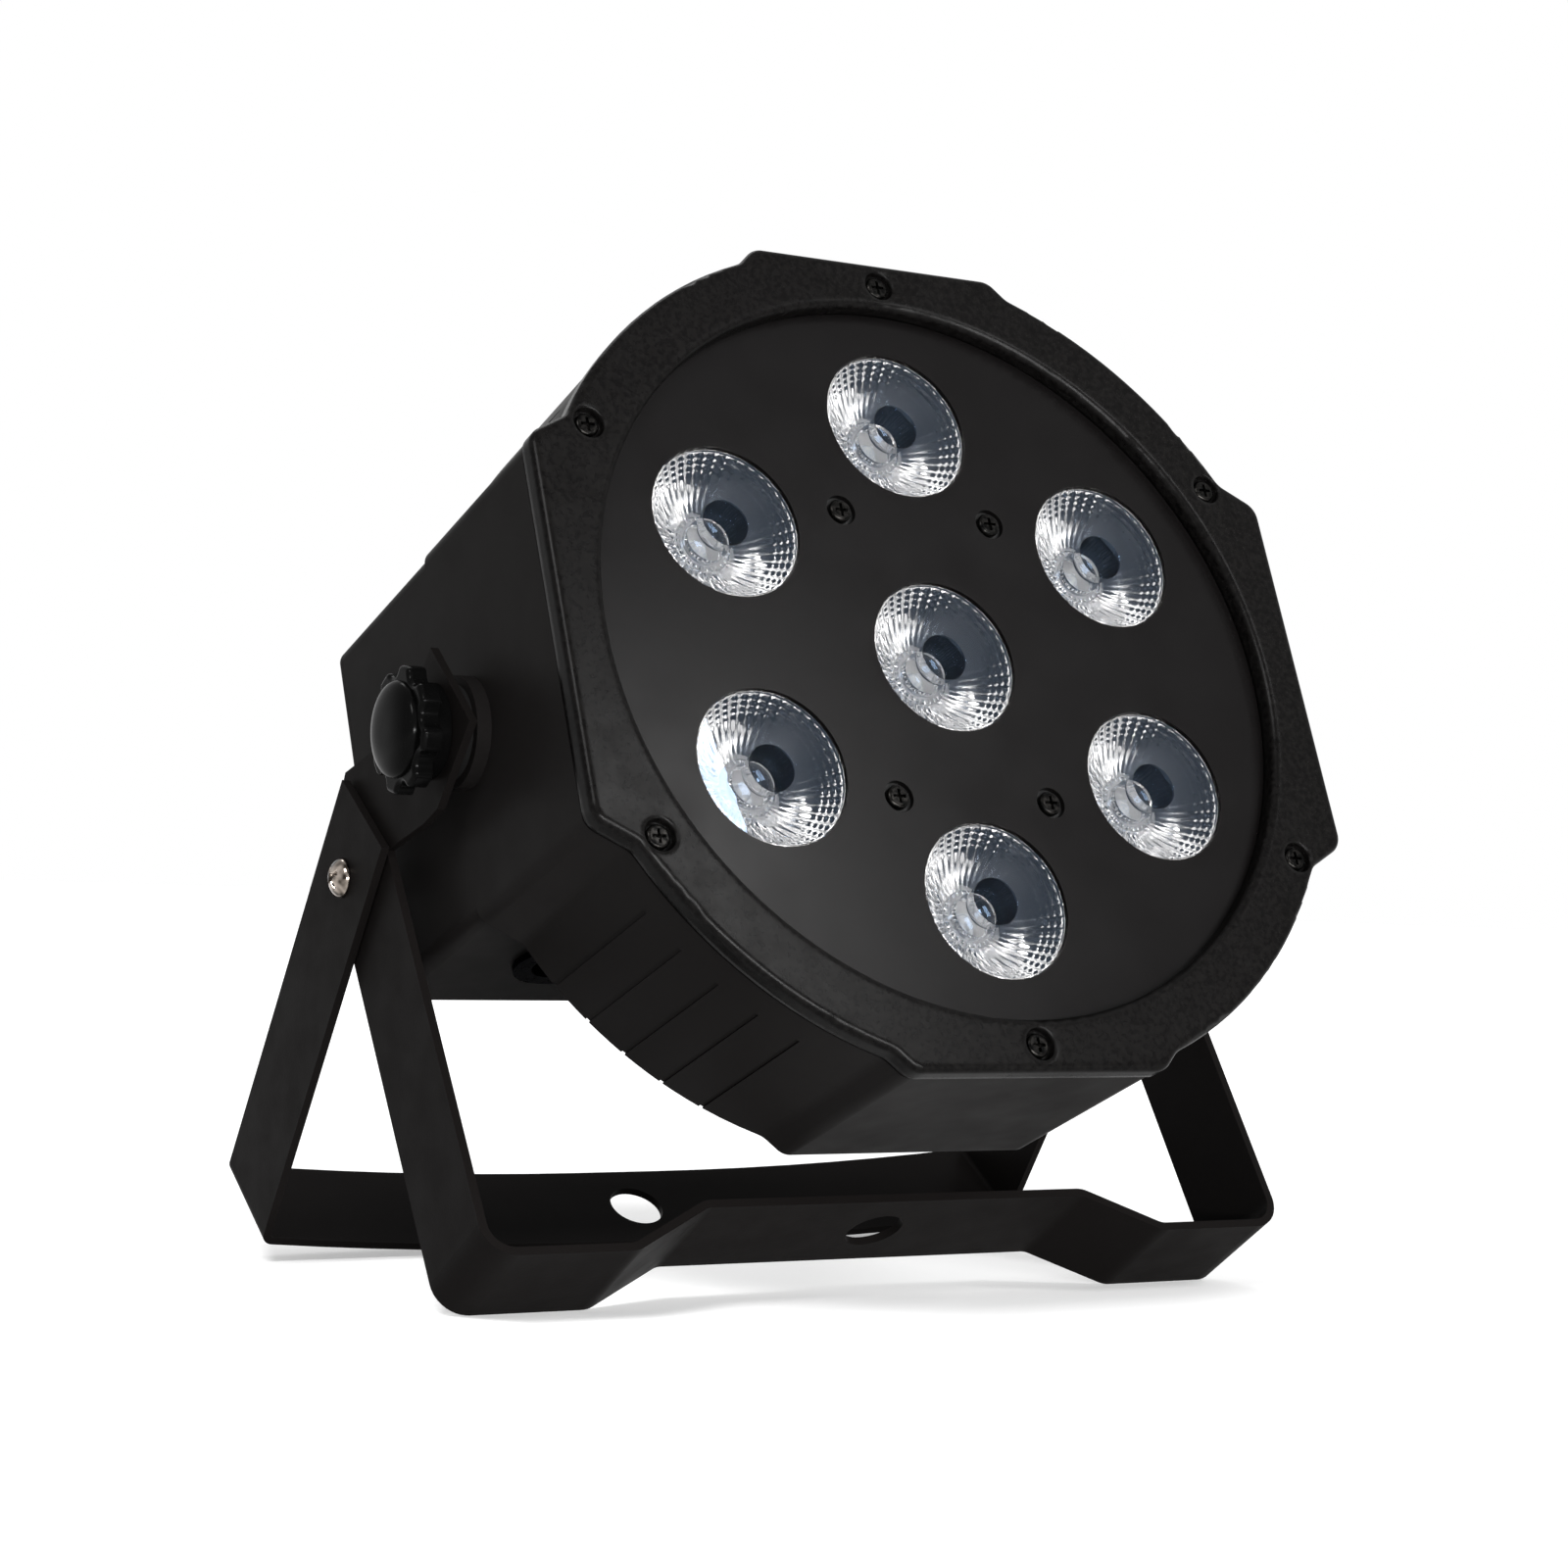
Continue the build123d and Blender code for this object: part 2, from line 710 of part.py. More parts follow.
    # posts for the power board
    with BuildSketch(POWER.offset(-seat_clearance)):
        with Locations(*power_posts):
            Circle(power_post)
    extrude(amount=-(box_half_height - wall / 2 - power_board_height - board_thickness))
housing.part.label = "housing"
export_step(housing.part, "parts/housing.step")

# ---------------------------------------------------------------- rear cover and controls
with BuildPart() as rear_cover:
    with BuildSketch(behind(cover_back)):
        RectangleRounded(2 * box_half_width, 2 * box_half_height, box_corner)
        with Locations(*cover_screw_spots):
            Circle(screw_shaft + slip, mode=Mode.SUBTRACT)
        with Locations((0, window_rise)):
            Rectangle(window_width, window_height, mode=Mode.SUBTRACT)
        with Locations(*button_spots):
            Circle(button_radius + button_play, mode=Mode.SUBTRACT)
        with Locations((-vent_middle, 0), (vent_middle, 0)):
            with GridLocations(vent_pitch, 1, vent_count, 1):
                SlotOverall(vent_length, vent_width, rotation=90, mode=Mode.SUBTRACT)
    extrude(amount=cover_thickness - seat_clearance)
    rear_face = rear_cover.faces().sort_by(BACKWARD)[-1]
    fillet(rear_face.outer_wire().edges(), bezel_edge)
    with BuildSketch(behind(box_back + seat_clearance)):
        with Locations(*control_post_spots):
            Circle(control_post)
    extrude(amount=box_back + seat_clearance - control_depth - board_thickness)
rear_cover.part.label = "rear_cover"
export_step(rear_cover.part, "parts/rear_cover.step")

with BuildPart() as rear_cover_screws:
    cross_head_screws(
        Plane(origin=behind(cover_back).origin, x_dir=(1, 0, 0), z_dir=-FRONT.z_dir),
        cover_screw_spots,
        screw_head,
        screw_head_height,
        screw_shaft,
        boss_length - wall,
    )
rear_cover_screws.part.label = "rear_cover_screws"
export_step(rear_cover_screws.part, "parts/rear_cover_screws.step")

with BuildPart() as display_window:
    with BuildSketch(behind(cover_back - seat_clearance)):
        with Locations((0, window_rise)):
            Rectangle(window_width - 2 * seat_clearance, window_height - 2 * seat_clearance)
    extrude(amount=window_thickness)
display_window.part.label = "display_window"
export_step(display_window.part, "parts/display_window.step")

with BuildPart() as control_board:
    with BuildSketch(behind(control_depth + board_thickness)):
        Rectangle(control_width, control_height)
    extrude(amount=board_thickness)
    with BuildSketch(behind(control_depth + board_thickness)):
        with Locations(*button_spots):
            Rectangle(switch_side, switch_side)
    extrude(amount=-switch_height)
    with BuildSketch(behind(control_depth + board_thickness + switch_height)):
        with Locations(*button_spots):
            Circle(switch_stem)
    button_front = cover_back + button_proud - button_length
    extrude(
        amount=control_depth + board_thickness + switch_height + button_travel + slip - button_front
    )
control_board.part.label = "control_board"
export_step(control_board.part, "parts/control_board.step")

with BuildPart() as display:
    with BuildSketch(behind(control_depth + board_thickness)):
        with Locations((0, window_rise)):
            Rectangle(window_width - 2 * slip, window_height - 2 * slip)
    extrude(amount=-display_height)
display.part.label = "display"
export_step(display.part, "parts/display.step")

for number, spot in enumerate(button_spots):
    with BuildPart() as button:
        with BuildSketch(behind(cover_back + button_proud)):
            with Locations(spot):
                Circle(button_radius)
        extrude(amount=button_length)
        crown = button.edges().group_by(BACKWARD)[-1]
        fillet(crown, button_proud * 0.3)
        with BuildSketch(behind(box_back)):
            with Locations(spot):
                Circle(button_flange)
        extrude(amount=button_flange_thickness)
    button.part.label = f"menu_button_{number}"
    export_step(button.part, f"parts/menu_button_{number}.step")

# ---------------------------------------------------------------- power supply
with BuildPart() as power_board:
    with BuildSketch(POWER):
        with Locations((0, -power_board_middle)):
            Rectangle(power_board_width, power_board_length)
    extrude(amount=board_thickness)
power_board.part.label = "power_board"
export_step(power_board.part, "parts/power_board.step")

with BuildPart() as transformer:
    with BuildSketch(POWER.offset(board_thickness)):
        with Locations((transformer_spot, -power_board_middle)):
            Rectangle(transformer_size[0], transformer_size[1])
    extrude(amount=transformer_size[2])
    fillet(transformer.edges().filter_by(Axis(POWER.origin, POWER.z_dir)), 2 * seat_clearance)
transformer.part.label = "transformer"
export_step(transformer.part, "parts/transformer.step")

with BuildPart() as filter_capacitors:
    with BuildSketch(POWER.offset(board_thickness)):
        with Locations((capacitor_spot, -power_board_middle)):
            with GridLocations(capacitor_pitch, 1, 2, 1):
                Circle(capacitor_radius)
    extrude(amount=capacitor_height)
filter_capacitors.part.label = "filter_capacitors"
export_step(filter_capacitors.part, "parts/filter_capacitors.step")

# ---------------------------------------------------------------- connectors in the underside
with BuildPart() as dmx_in_shell:
    with BuildSketch(UNDERSIDE):
        with Locations((-dmx_spot, 0)):
            Circle(dmx_flange)
    extrude(amount=dmx_flange_thickness)
    with BuildSketch(UNDERSIDE):
        with Locations((-dmx_spot, 0)):
            Circle(dmx_barrel)
    extrude(amount=-dmx_barrel_length)
    with BuildSketch(UNDERSIDE.offset(dmx_flange_thickness)):
        with Locations((-dmx_spot, 0)):
            Circle(dmx_in_bore)
    extrude(amount=-dmx_bore_depth, mode=Mode.SUBTRACT)
dmx_in_shell.part.label = "dmx_in_shell"
export_step(dmx_in_shell.part, "parts/dmx_in_shell.step")

with BuildPart() as dmx_in_pins:
    with BuildSketch(UNDERSIDE.offset(dmx_flange_thickness - dmx_bore_depth)):
        with Locations((-dmx_spot, 0)):
            with PolarLocations(dmx_pin_circle, 3):
                Circle(dmx_pin)
    extrude(amount=dmx_pin_length)
dmx_in_pins.part.label = "dmx_in_pins"
export_step(dmx_in_pins.part, "parts/dmx_in_pins.step")

with BuildPart() as dmx_out_shell:
    with BuildSketch(UNDERSIDE):
        with Locations((dmx_spot, 0)):
            Circle(dmx_flange)
    extrude(amount=dmx_flange_thickness)
    with BuildSketch(UNDERSIDE):
        with Locations((dmx_spot, 0)):
            Circle(dmx_barrel)
    extrude(amount=-dmx_barrel_length)
    with BuildSketch(UNDERSIDE.offset(dmx_flange_thickness)):
        with Locations((dmx_spot, 0)):
            Circle(dmx_out_bore)
    extrude(amount=-dmx_bore_depth, mode=Mode.SUBTRACT)
dmx_out_shell.part.label = "dmx_out_shell"
export_step(dmx_out_shell.part, "parts/dmx_out_shell.step")

with BuildPart() as dmx_out_insert:
    with BuildSketch(UNDERSIDE.offset(dmx_flange_thickness - dmx_insert_recess)):
        with Locations((dmx_spot, 0)):
            Circle(dmx_insert)
    extrude(amount=dmx_insert_recess - dmx_bore_depth)
    with BuildSketch(UNDERSIDE.offset(dmx_flange_thickness - dmx_insert_recess)):
        with Locations((dmx_spot, 0)):
            with PolarLocations(dmx_pin_circle, 3):
                Circle(dmx_contact)
    extrude(amount=-dmx_contact_depth, mode=Mode.SUBTRACT)
dmx_out_insert.part.label = "dmx_out_insert"
export_step(dmx_out_insert.part, "parts/dmx_out_insert.step")

with BuildPart() as dmx_nuts:
    with BuildSketch(UNDERSIDE.offset(-wall)):
        with Locations((-dmx_spot, 0), (dmx_spot, 0)):
            RegularPolygon(dmx_nut, 6, major_radius=False)
            Circle(dmx_barrel + screw_play, mode=Mode.SUBTRACT)
    extrude(amount=-dmx_nut_thickness)
dmx_nuts.part.label = "dmx_nuts"
export_step(dmx_nuts.part, "parts/dmx_nuts.step")

with BuildPart() as dmx_latch:
    latch_shoulder = wall + dmx_nut_thickness + seat_clearance
    with BuildSketch(UNDERSIDE.offset(latch_travel + latch_stub)):
        with Locations((dmx_spot, latch_spot)):
            Rectangle(latch_width, latch_height)
    extrude(amount=-(latch_travel + latch_stub + latch_shoulder))
    with BuildSketch(UNDERSIDE.offset(-latch_shoulder)):
        with Locations((dmx_spot, latch_spot)):
            Rectangle(latch_width + 2 * latch_foot, latch_height + latch_foot)
    extrude(amount=-latch_foot)
dmx_latch.part.label = "dmx_latch"
export_step(dmx_latch.part, "parts/dmx_latch.step")

with BuildPart() as power_inlet:
    with BuildSketch(UNDERSIDE):
        with Locations((inlet_spot, 0)):
            RectangleRounded(inlet_flange[0], inlet_flange[1], inlet_corner)
        with Locations((inlet_spot - inlet_screw, 0), (inlet_spot + inlet_screw, 0)):
            Circle(screw_shaft + screw_play, mode=Mode.SUBTRACT)
    extrude(amount=inlet_flange_thickness)
    with BuildSketch(UNDERSIDE):
        with Locations((inlet_spot, 0)):
            Rectangle(inlet_body[0], inlet_body[1])
    extrude(amount=-inlet_body_length)
    with BuildSketch(UNDERSIDE.offset(inlet_flange_thickness)):
        with Locations((inlet_spot, 0)):
            RectangleRounded(inlet_opening[0], inlet_opening[1], inlet_corner)
    extrude(amount=-inlet_depth, mode=Mode.SUBTRACT)
power_inlet.part.label = "power_inlet"
export_step(power_inlet.part, "parts/power_inlet.step")

with BuildPart() as power_inlet_pins:
    with BuildSketch(UNDERSIDE.offset(inlet_flange_thickness - inlet_depth)):
        with Locations(
            (inlet_spot - inlet_pin_spread, 0),
            (inlet_spot, inlet_earth_rise),
            (inlet_spot + inlet_pin_spread, 0),
        ):
            Rectangle(inlet_pin[0], inlet_pin[1])
    extrude(amount=inlet_pin_length)
power_inlet_pins.part.label = "power_inlet_pins"
export_step(power_inlet_pins.part, "parts/power_inlet_pins.step")

with BuildPart() as power_inlet_screws:
    cross_head_screws(
        UNDERSIDE.offset(inlet_flange_thickness),
        [(inlet_spot - inlet_screw, 0), (inlet_spot + inlet_screw, 0)],
        screw_head,
        screw_head_height,
        screw_shaft,
        inlet_flange_thickness + 2 * wall,
    )
power_inlet_screws.part.label = "power_inlet_screws"
export_step(power_inlet_screws.part, "parts/power_inlet_screws.step")

with BuildPart() as fuse_holder:
    with BuildSketch(UNDERSIDE):
        with Locations((fuse_spot, 0)):
            Circle(fuse_flange)
    extrude(amount=fuse_flange_thickness)
    with BuildSketch(UNDERSIDE):
        with Locations((fuse_spot, 0)):
            Circle(fuse_barrel)
    extrude(amount=-fuse_barrel_length)
    with BuildSketch(UNDERSIDE.offset(fuse_flange_thickness)):
        with Locations((fuse_spot, 0)):
            Circle(fuse_bore)
    extrude(amount=-(fuse_barrel_length - fuse_radius), mode=Mode.SUBTRACT)
fuse_holder.part.label = "fuse_holder"
export_step(fuse_holder.part, "parts/fuse_holder.step")

with BuildPart() as fuse_cap:
    with BuildSketch(UNDERSIDE.offset(fuse_flange_thickness + slip)):
        with Locations((fuse_spot, 0)):
            Circle(fuse_barrel)
    extrude(amount=fuse_cap_height)
    rim = fuse_cap.edges().group_by(Axis(UNDERSIDE.origin, UNDERSIDE.z_dir))[-1]
    fillet(rim, bezel_edge / 2)
    with BuildSketch(UNDERSIDE.offset(fuse_flange_thickness + slip)):
        with Locations((fuse_spot, 0)):
            Circle(fuse_bore - fuse_play)
    extrude(amount=-fuse_cap_plug)
    with BuildSketch(UNDERSIDE.offset(fuse_flange_thickness + slip + fuse_cap_height)):
        with Locations((fuse_spot, 0)):
            Rectangle(2 * fuse_bore, cross_width * 2)
    extrude(amount=-cross_depth, mode=Mode.SUBTRACT)
fuse_cap.part.label = "fuse_cap"
export_step(fuse_cap.part, "parts/fuse_cap.step")

with BuildPart() as fuse:
    with BuildSketch(UNDERSIDE.offset(fuse_flange_thickness - fuse_cap_plug)):
        with Locations((fuse_spot, 0)):
            Circle(fuse_radius)
    extrude(amount=-fuse_length)
fuse.part.label = "fuse"
export_step(fuse.part, "parts/fuse.step")

# ---------------------------------------------------------------- tilt pivot
knob_foot = arm_outside + knob_gap

with BuildPart() as pivot_inserts:
    with BuildSketch(HEAD_SIDE.offset(insert_back)):
        Circle(insert_radius)
        Circle(pivot_bolt + pivot_play, mode=Mode.SUBTRACT)
    extrude(amount=insert_length)
    mirror(about=Plane.YZ)
pivot_inserts.part.label = "pivot_inserts"
export_step(pivot_inserts.part, "parts/pivot_inserts.step")

with BuildPart() as friction_washers:
    with BuildSketch(HEAD_SIDE.offset(boss_face)):
        Circle(friction_washer)
        Circle(pivot_bolt + slip, mode=Mode.SUBTRACT)
    extrude(amount=friction_washer_thickness)
    mirror(about=Plane.YZ)
friction_washers.part.label = "friction_washers"
export_step(friction_washers.part, "parts/friction_washers.step")

with BuildPart() as knob_right:
    with BuildSketch(HEAD_SIDE.offset(knob_foot)):
        Circle(knob_flange)
    extrude(amount=knob_flange_height)
    with BuildSketch(HEAD_SIDE.offset(knob_foot + knob_flange_height)) as star:
        Circle(knob_radius)
        with PolarLocations(
            knob_radius + knob_scallop_outside,
            knob_lobes,
            start_angle=90 + knob_lobe_lean + 180 / knob_lobes,
        ):
            Circle(knob_scallop, mode=Mode.SUBTRACT)
        fillet(star.vertices(), knob_lobe_round)
    extrude(amount=knob_lobe_height)
    fillet(knob_right.edges().group_by(OUTWARD)[-1], knob_lobe_edge)
    with BuildSketch(HEAD_SIDE.offset(knob_foot + knob_flange_height + knob_lobe_height / 2)):
        Circle(knob_radius - knob_cap_inset)
    extrude(amount=knob_lobe_height / 2 + knob_cap_height)
    fillet(knob_right.edges().group_by(OUTWARD)[-1], knob_cap_height - knob_cap_land)
    with BuildSketch(HEAD_SIDE.offset(knob_foot)):
        Circle(pivot_bolt)
    extrude(amount=knob_bolt_in_knob, mode=Mode.SUBTRACT)
knob_right.part.label = "knob_right"
export_step(knob_right.part, "parts/knob_right.step")

with BuildPart() as knob_left:
    mirror(knob_right.part, about=Plane.YZ)
knob_left.part.label = "knob_left"
export_step(knob_left.part, "parts/knob_left.step")

with BuildPart() as knob_bolt_right:
    with BuildSketch(HEAD_SIDE.offset(arm_inside - knob_bolt_reach)):
        Circle(pivot_bolt)
    extrude(amount=knob_foot + knob_bolt_in_knob - arm_inside + knob_bolt_reach)
    chamfer(knob_bolt_right.edges().group_by(OUTWARD)[0], 2 * slip)
knob_bolt_right.part.label = "knob_bolt_right"
export_step(knob_bolt_right.part, "parts/knob_bolt_right.step")

with BuildPart() as knob_bolt_left:
    mirror(knob_bolt_right.part, about=Plane.YZ)
knob_bolt_left.part.label = "knob_bolt_left"
export_step(knob_bolt_left.part, "parts/knob_bolt_left.step")

# ---------------------------------------------------------------- brackets
with BuildPart() as front_bracket:
    # crossbar and arms, one strip seen along its width
    with BuildSketch(FOOT):
        with BuildLine():
            FilletPolyline(
                (-arm_outside + steel / 2, arm_length),
                (-arm_outside + steel / 2, steel / 2),
                (-foot_inside, steel / 2),
                (-rise_inside, steel / 2 + rise_height),
                (rise_inside, steel / 2 + rise_height),
                (foot_inside, steel / 2),
                (arm_outside - steel / 2, steel / 2),
                (arm_outside - steel / 2, arm_length),
                radius=[foot_bend, rise_bend, rise_bend, rise_bend, rise_bend, foot_bend],
            )
        trace(line_width=steel)
    extrude(amount=arm_width / 2, both=True)
    # side plates, which carry the knob's bolt and the rear bracket's screw
    with BuildSketch(SIDE.offset(arm_inside)):
        side_strip(
            [tail_end, tail_bend, kink, kink - arm_up * arm_width], [tail_width, neck_width, arm_width]
        )
    extrude(amount=steel)
    mirror(about=Plane.YZ)
    with BuildSketch(SIDE):
        Circle(pivot_bolt + pivot_play)
        with Locations(leg_pivot):
            Circle(leg_screw + leg_screw_play)
    extrude(amount=arm_outside, both=True, mode=Mode.SUBTRACT)
    with BuildSketch(Plane(origin=FOOT.origin, x_dir=(1, 0, 0), z_dir=FOOT.y_dir)):
        Circle(front_clamp_hole)
    extrude(amount=rise_height + 2 * steel, mode=Mode.SUBTRACT)
front_bracket.part.label = "front_bracket"
export_step(front_bracket.part, "parts/front_bracket.step")

with BuildPart() as rear_bracket:
    with BuildSketch(LEG):
        with BuildLine() as course:
            seat = Line((-leg_seat, -leg_reach + steel / 2), (leg_seat, -leg_reach + steel / 2))
            for outward, end in ((-1, seat @ 0), (1, seat @ 1)):
                corner = (outward * (leg_outside - steel / 2), -leg_length + steel / 2)
                TangentArc(end, corner, tangent=(outward, 0))
                Line(corner, (corner[0], leg_past_screw))
            fillet(course.vertices().group_by(Axis.Y)[1], leg_bend)
        trace(line_width=steel)
    extrude(amount=leg_width / 2, both=True)
    with BuildSketch(LEG_SIDE):
        Circle(leg_screw + leg_screw_play)
    extrude(amount=leg_outside, both=True, mode=Mode.SUBTRACT)
    with BuildSketch(Plane(origin=LEG.origin, x_dir=(1, 0, 0), z_dir=-LEG.y_dir)):
        Circle(rear_clamp_hole)
    extrude(amount=leg_reach + steel, mode=Mode.SUBTRACT)
rear_bracket.part.label = "rear_bracket"
export_step(rear_bracket.part, "parts/rear_bracket.step")

with BuildPart() as bracket_screws:
    cross_head_screws(
        LEG_SIDE.offset(leg_outside + leg_washer_play),
        [(0, 0)],
        leg_screw_head,
        leg_screw_head_height,
        leg_screw,
        leg_outside + leg_washer_play - arm_inside + leg_nut_height,
    )
    mirror(about=Plane.YZ)
bracket_screws.part.label = "bracket_screws"
export_step(bracket_screws.part, "parts/bracket_screws.step")

with BuildPart() as bracket_nuts:
    with BuildSketch(LEG_SIDE.offset(arm_inside)):
        RegularPolygon(leg_nut, 6)
        Circle(leg_screw, mode=Mode.SUBTRACT)
    extrude(amount=-leg_nut_height)
    mirror(about=Plane.YZ)
bracket_nuts.part.label = "bracket_nuts"
export_step(bracket_nuts.part, "parts/bracket_nuts.step")

with BuildPart() as bracket_washers:
    with BuildSketch(LEG_SIDE.offset(arm_outside)):
        Circle(leg_washer)
        Circle(leg_screw + leg_screw_play, mode=Mode.SUBTRACT)
    extrude(amount=leg_gap - leg_washer_play)
    mirror(about=Plane.YZ)
bracket_washers.part.label = "bracket_washers"
export_step(bracket_washers.part, "parts/bracket_washers.step")
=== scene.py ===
# %% [markdown]
# # A par can light, dressed for a studio picture
#
# The light is a flat black stage lamp: a round head with seven clear lenses, held by two bent steel
# brackets. Its shapes come from a CAD model that is loaded here as a fixed frame, so nothing has to
# be fitted by eye. What is left to do is what a studio and a paint shop would do: set a camera,
# a floor and some soft light, and give every piece the surface it has in real life. Where a simple
# CAD solid can't show what the eye expects, as in a lens full of small facets, a finer mesh takes
# its place.
#
# All lengths are in metres. +Z is up, and the lenses look towards -Y.

# %% Load the model
import json
import math

import bmesh
import bpy
from mathutils import Matrix, Vector


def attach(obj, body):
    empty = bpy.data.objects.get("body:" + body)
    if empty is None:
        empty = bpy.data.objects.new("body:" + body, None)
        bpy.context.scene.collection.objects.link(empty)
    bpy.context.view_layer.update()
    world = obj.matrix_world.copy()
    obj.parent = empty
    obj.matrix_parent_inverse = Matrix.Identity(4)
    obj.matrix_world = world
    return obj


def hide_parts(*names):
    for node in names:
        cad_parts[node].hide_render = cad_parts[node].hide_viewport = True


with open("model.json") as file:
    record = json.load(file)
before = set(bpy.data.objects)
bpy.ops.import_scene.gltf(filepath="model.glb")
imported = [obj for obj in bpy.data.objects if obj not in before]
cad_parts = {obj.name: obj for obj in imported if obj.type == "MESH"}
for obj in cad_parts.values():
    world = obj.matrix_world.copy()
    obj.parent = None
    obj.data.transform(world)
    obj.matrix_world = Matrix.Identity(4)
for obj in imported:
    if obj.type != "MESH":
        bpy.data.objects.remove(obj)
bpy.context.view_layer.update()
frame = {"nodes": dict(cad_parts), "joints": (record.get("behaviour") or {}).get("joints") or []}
MM = 0.001

# %% [markdown]
# ## Directions of the head
#
# The head stands tilted, so its own directions are handier than the world's. They could be typed in
# as angles, but the model already knows them: a menu button slides straight backwards, so its joint
# gives the head's axis. Right stays +X, and up along the front face follows from the other two.

# %% Read the head's axes from a button's joint
joints = {joint["name"]: joint for joint in frame["joints"]}
backward = Vector(joints["menu_button_0_press"]["axis"]).normalized()
HEAD_RIGHT = Vector((1, 0, 0))
HEAD_FORWARD = -backward
HEAD_UP = HEAD_FORWARD.cross(HEAD_RIGHT).normalized()
print("the head looks up by", round(math.degrees(math.asin(HEAD_FORWARD.z)), 1), "degrees")


# %% Measure a solid along the head's axes
def head_box(node):
    """Lowest and highest coordinates of a solid to the right, up the face and forward."""
    points = [vertex.co for vertex in frame["nodes"][node].data.vertices]
    spans = []
    for axis in (HEAD_RIGHT, HEAD_UP, HEAD_FORWARD):
        along = [point.dot(axis) for point in points]
        spans.append((min(along), max(along)))
    return spans


def head_point(right, up, forward):
    """World point of three head coordinates."""
    return HEAD_RIGHT * right + HEAD_UP * up + HEAD_FORWARD * forward


print("front face stands at", round(head_box("front_bezel")[2][1] / MM, 1), "mm along the axis")

# %% [markdown]
# ## The camera
#
# The lamp is seen from its right-hand side and slightly from below its own axis, as a buyer would
# look at it on a table. A camera could be pointed with a Track To constraint, but three written
# directions keep it exactly still, and they also hold the small roll that a tripod has.

# %% Set the camera
CAMERA_PLACE = (-0.42029, -0.68217, 0.10467)
CAMERA_RIGHT = (0.85610, -0.51577, 0.03278)
CAMERA_UP = (-0.03919, -0.00155, 0.99923)
CAMERA_BACK = (-0.51532, -0.85674, -0.02154)
lens_data = bpy.data.cameras.new("studio_camera")
lens_data.lens, lens_data.sensor_width = 74.903, 36.0
lens_data.clip_start, lens_data.clip_end = 0.01, 20.0
camera = bpy.data.objects.new("studio_camera", lens_data)
bpy.context.scene.collection.objects.link(camera)
turn = Matrix((CAMERA_RIGHT, CAMERA_UP, CAMERA_BACK)).transposed().to_4x4()
camera.matrix_world = Matrix.Translation(CAMERA_PLACE) @ turn
bpy.context.scene.camera = camera
bpy.context.scene.view_settings.view_transform = "Standard"
print("camera with a", lens_data.lens, "mm lens")

# %% [markdown]
# ## The white room
#
# Catalogue pictures stand the object on white with no horizon. The room's brightness comes in two
# parts. What the camera, a mirror or a piece of glass sees is plain white, strength 1. What lights
# the surfaces is a calmer grey, so that the lamps can still shape the black plastic. The Light Path
# node tells the two apart.

# %% White to look at, softer as a light
ROOM_LIGHT = 0.5
room = bpy.data.worlds.new("white_room")
room.use_nodes = True
bpy.context.scene.world = room
nodes, links = room.node_tree.nodes, room.node_tree.links
background = nodes["Background"]
path = nodes.new("ShaderNodeLightPath")


def seen_rays(node_tree, path_node):
    """Value of 1 for rays from the camera, a mirror or glass, and 0 for the rest."""
    largest = path_node.outputs["Is Camera Ray"]
    for name in ("Is Glossy Ray", "Is Transmission Ray"):
        both = node_tree.nodes.new("ShaderNodeMath")
        both.operation = "MAXIMUM"
        node_tree.links.new(largest, both.inputs[0])
        node_tree.links.new(path_node.outputs[name], both.inputs[1])
        largest = both.outputs[0]
    return largest


brightness = nodes.new("ShaderNodeMapRange")
brightness.inputs["To Min"].default_value = ROOM_LIGHT
brightness.inputs["To Max"].default_value = 1.0
links.new(seen_rays(room.node_tree, path), brightness.inputs["Value"])
background.inputs["Color"].default_value = (1, 1, 1, 1)
links.new(brightness.outputs["Result"], background.inputs["Strength"])
print("room lights surfaces at", ROOM_LIGHT)

# %% [markdown]
# The floor is one large disc. Paint alone would turn grey where the lamps fall off and draw a
# horizon, so the floor also glows, but only for rays that look at it. The glow is faint under the
# object, where its soft shadow has to show, and grows outwards until floor and room are one white.

# %% Lay the floor
FLOOR_RADIUS = 6.0
FLOOR_GAP = 0.2 * MM  # keeps the paper from sharing a plane with the feet
FLOOR_GLOW, FAR_GLOW = 0.32, 0.75
GLOW_RISES_FROM, GLOW_RISES_TO = 0.3, 1.3
floor_mesh = bmesh.new()
bmesh.ops.create_circle(floor_mesh, cap_ends=True, segments=96, radius=FLOOR_RADIUS)
floor_data = bpy.data.meshes.new("floor")
floor_mesh.to_mesh(floor_data)
floor_mesh.free()
floor = bpy.data.objects.new("floor", floor_data)
floor.location.z = -FLOOR_GAP
bpy.context.scene.collection.objects.link(floor)
paper = bpy.data.materials.new("white_paper")
paper.use_nodes = True
nodes, links = paper.node_tree.nodes, paper.node_tree.links
shade = nodes["Principled BSDF"]
shade.inputs["Base Color"].default_value = (0.82, 0.82, 0.82, 1)
shade.inputs["Roughness"].default_value = 0.9
shade.inputs["Specular IOR Level"].default_value = 0.1
shade.inputs["Emission Color"].default_value = (1, 1, 1, 1)
path = nodes.new("ShaderNodeLightPath")
glow = nodes.new("ShaderNodeMapRange")
links.new(seen_rays(paper.node_tree, path), glow.inputs["Value"])
where = nodes.new("ShaderNodeTexCoord")
reach = nodes.new("ShaderNodeVectorMath")
reach.operation = "LENGTH"
links.new(where.outputs["Object"], reach.inputs[0])
further = nodes.new("ShaderNodeMapRange")
further.inputs["From Min"].default_value = GLOW_RISES_FROM
further.inputs["From Max"].default_value = GLOW_RISES_TO
further.inputs["To Min"].default_value = FLOOR_GLOW
further.inputs["To Max"].default_value = FAR_GLOW
links.new(reach.outputs["Value"], further.inputs["Value"])
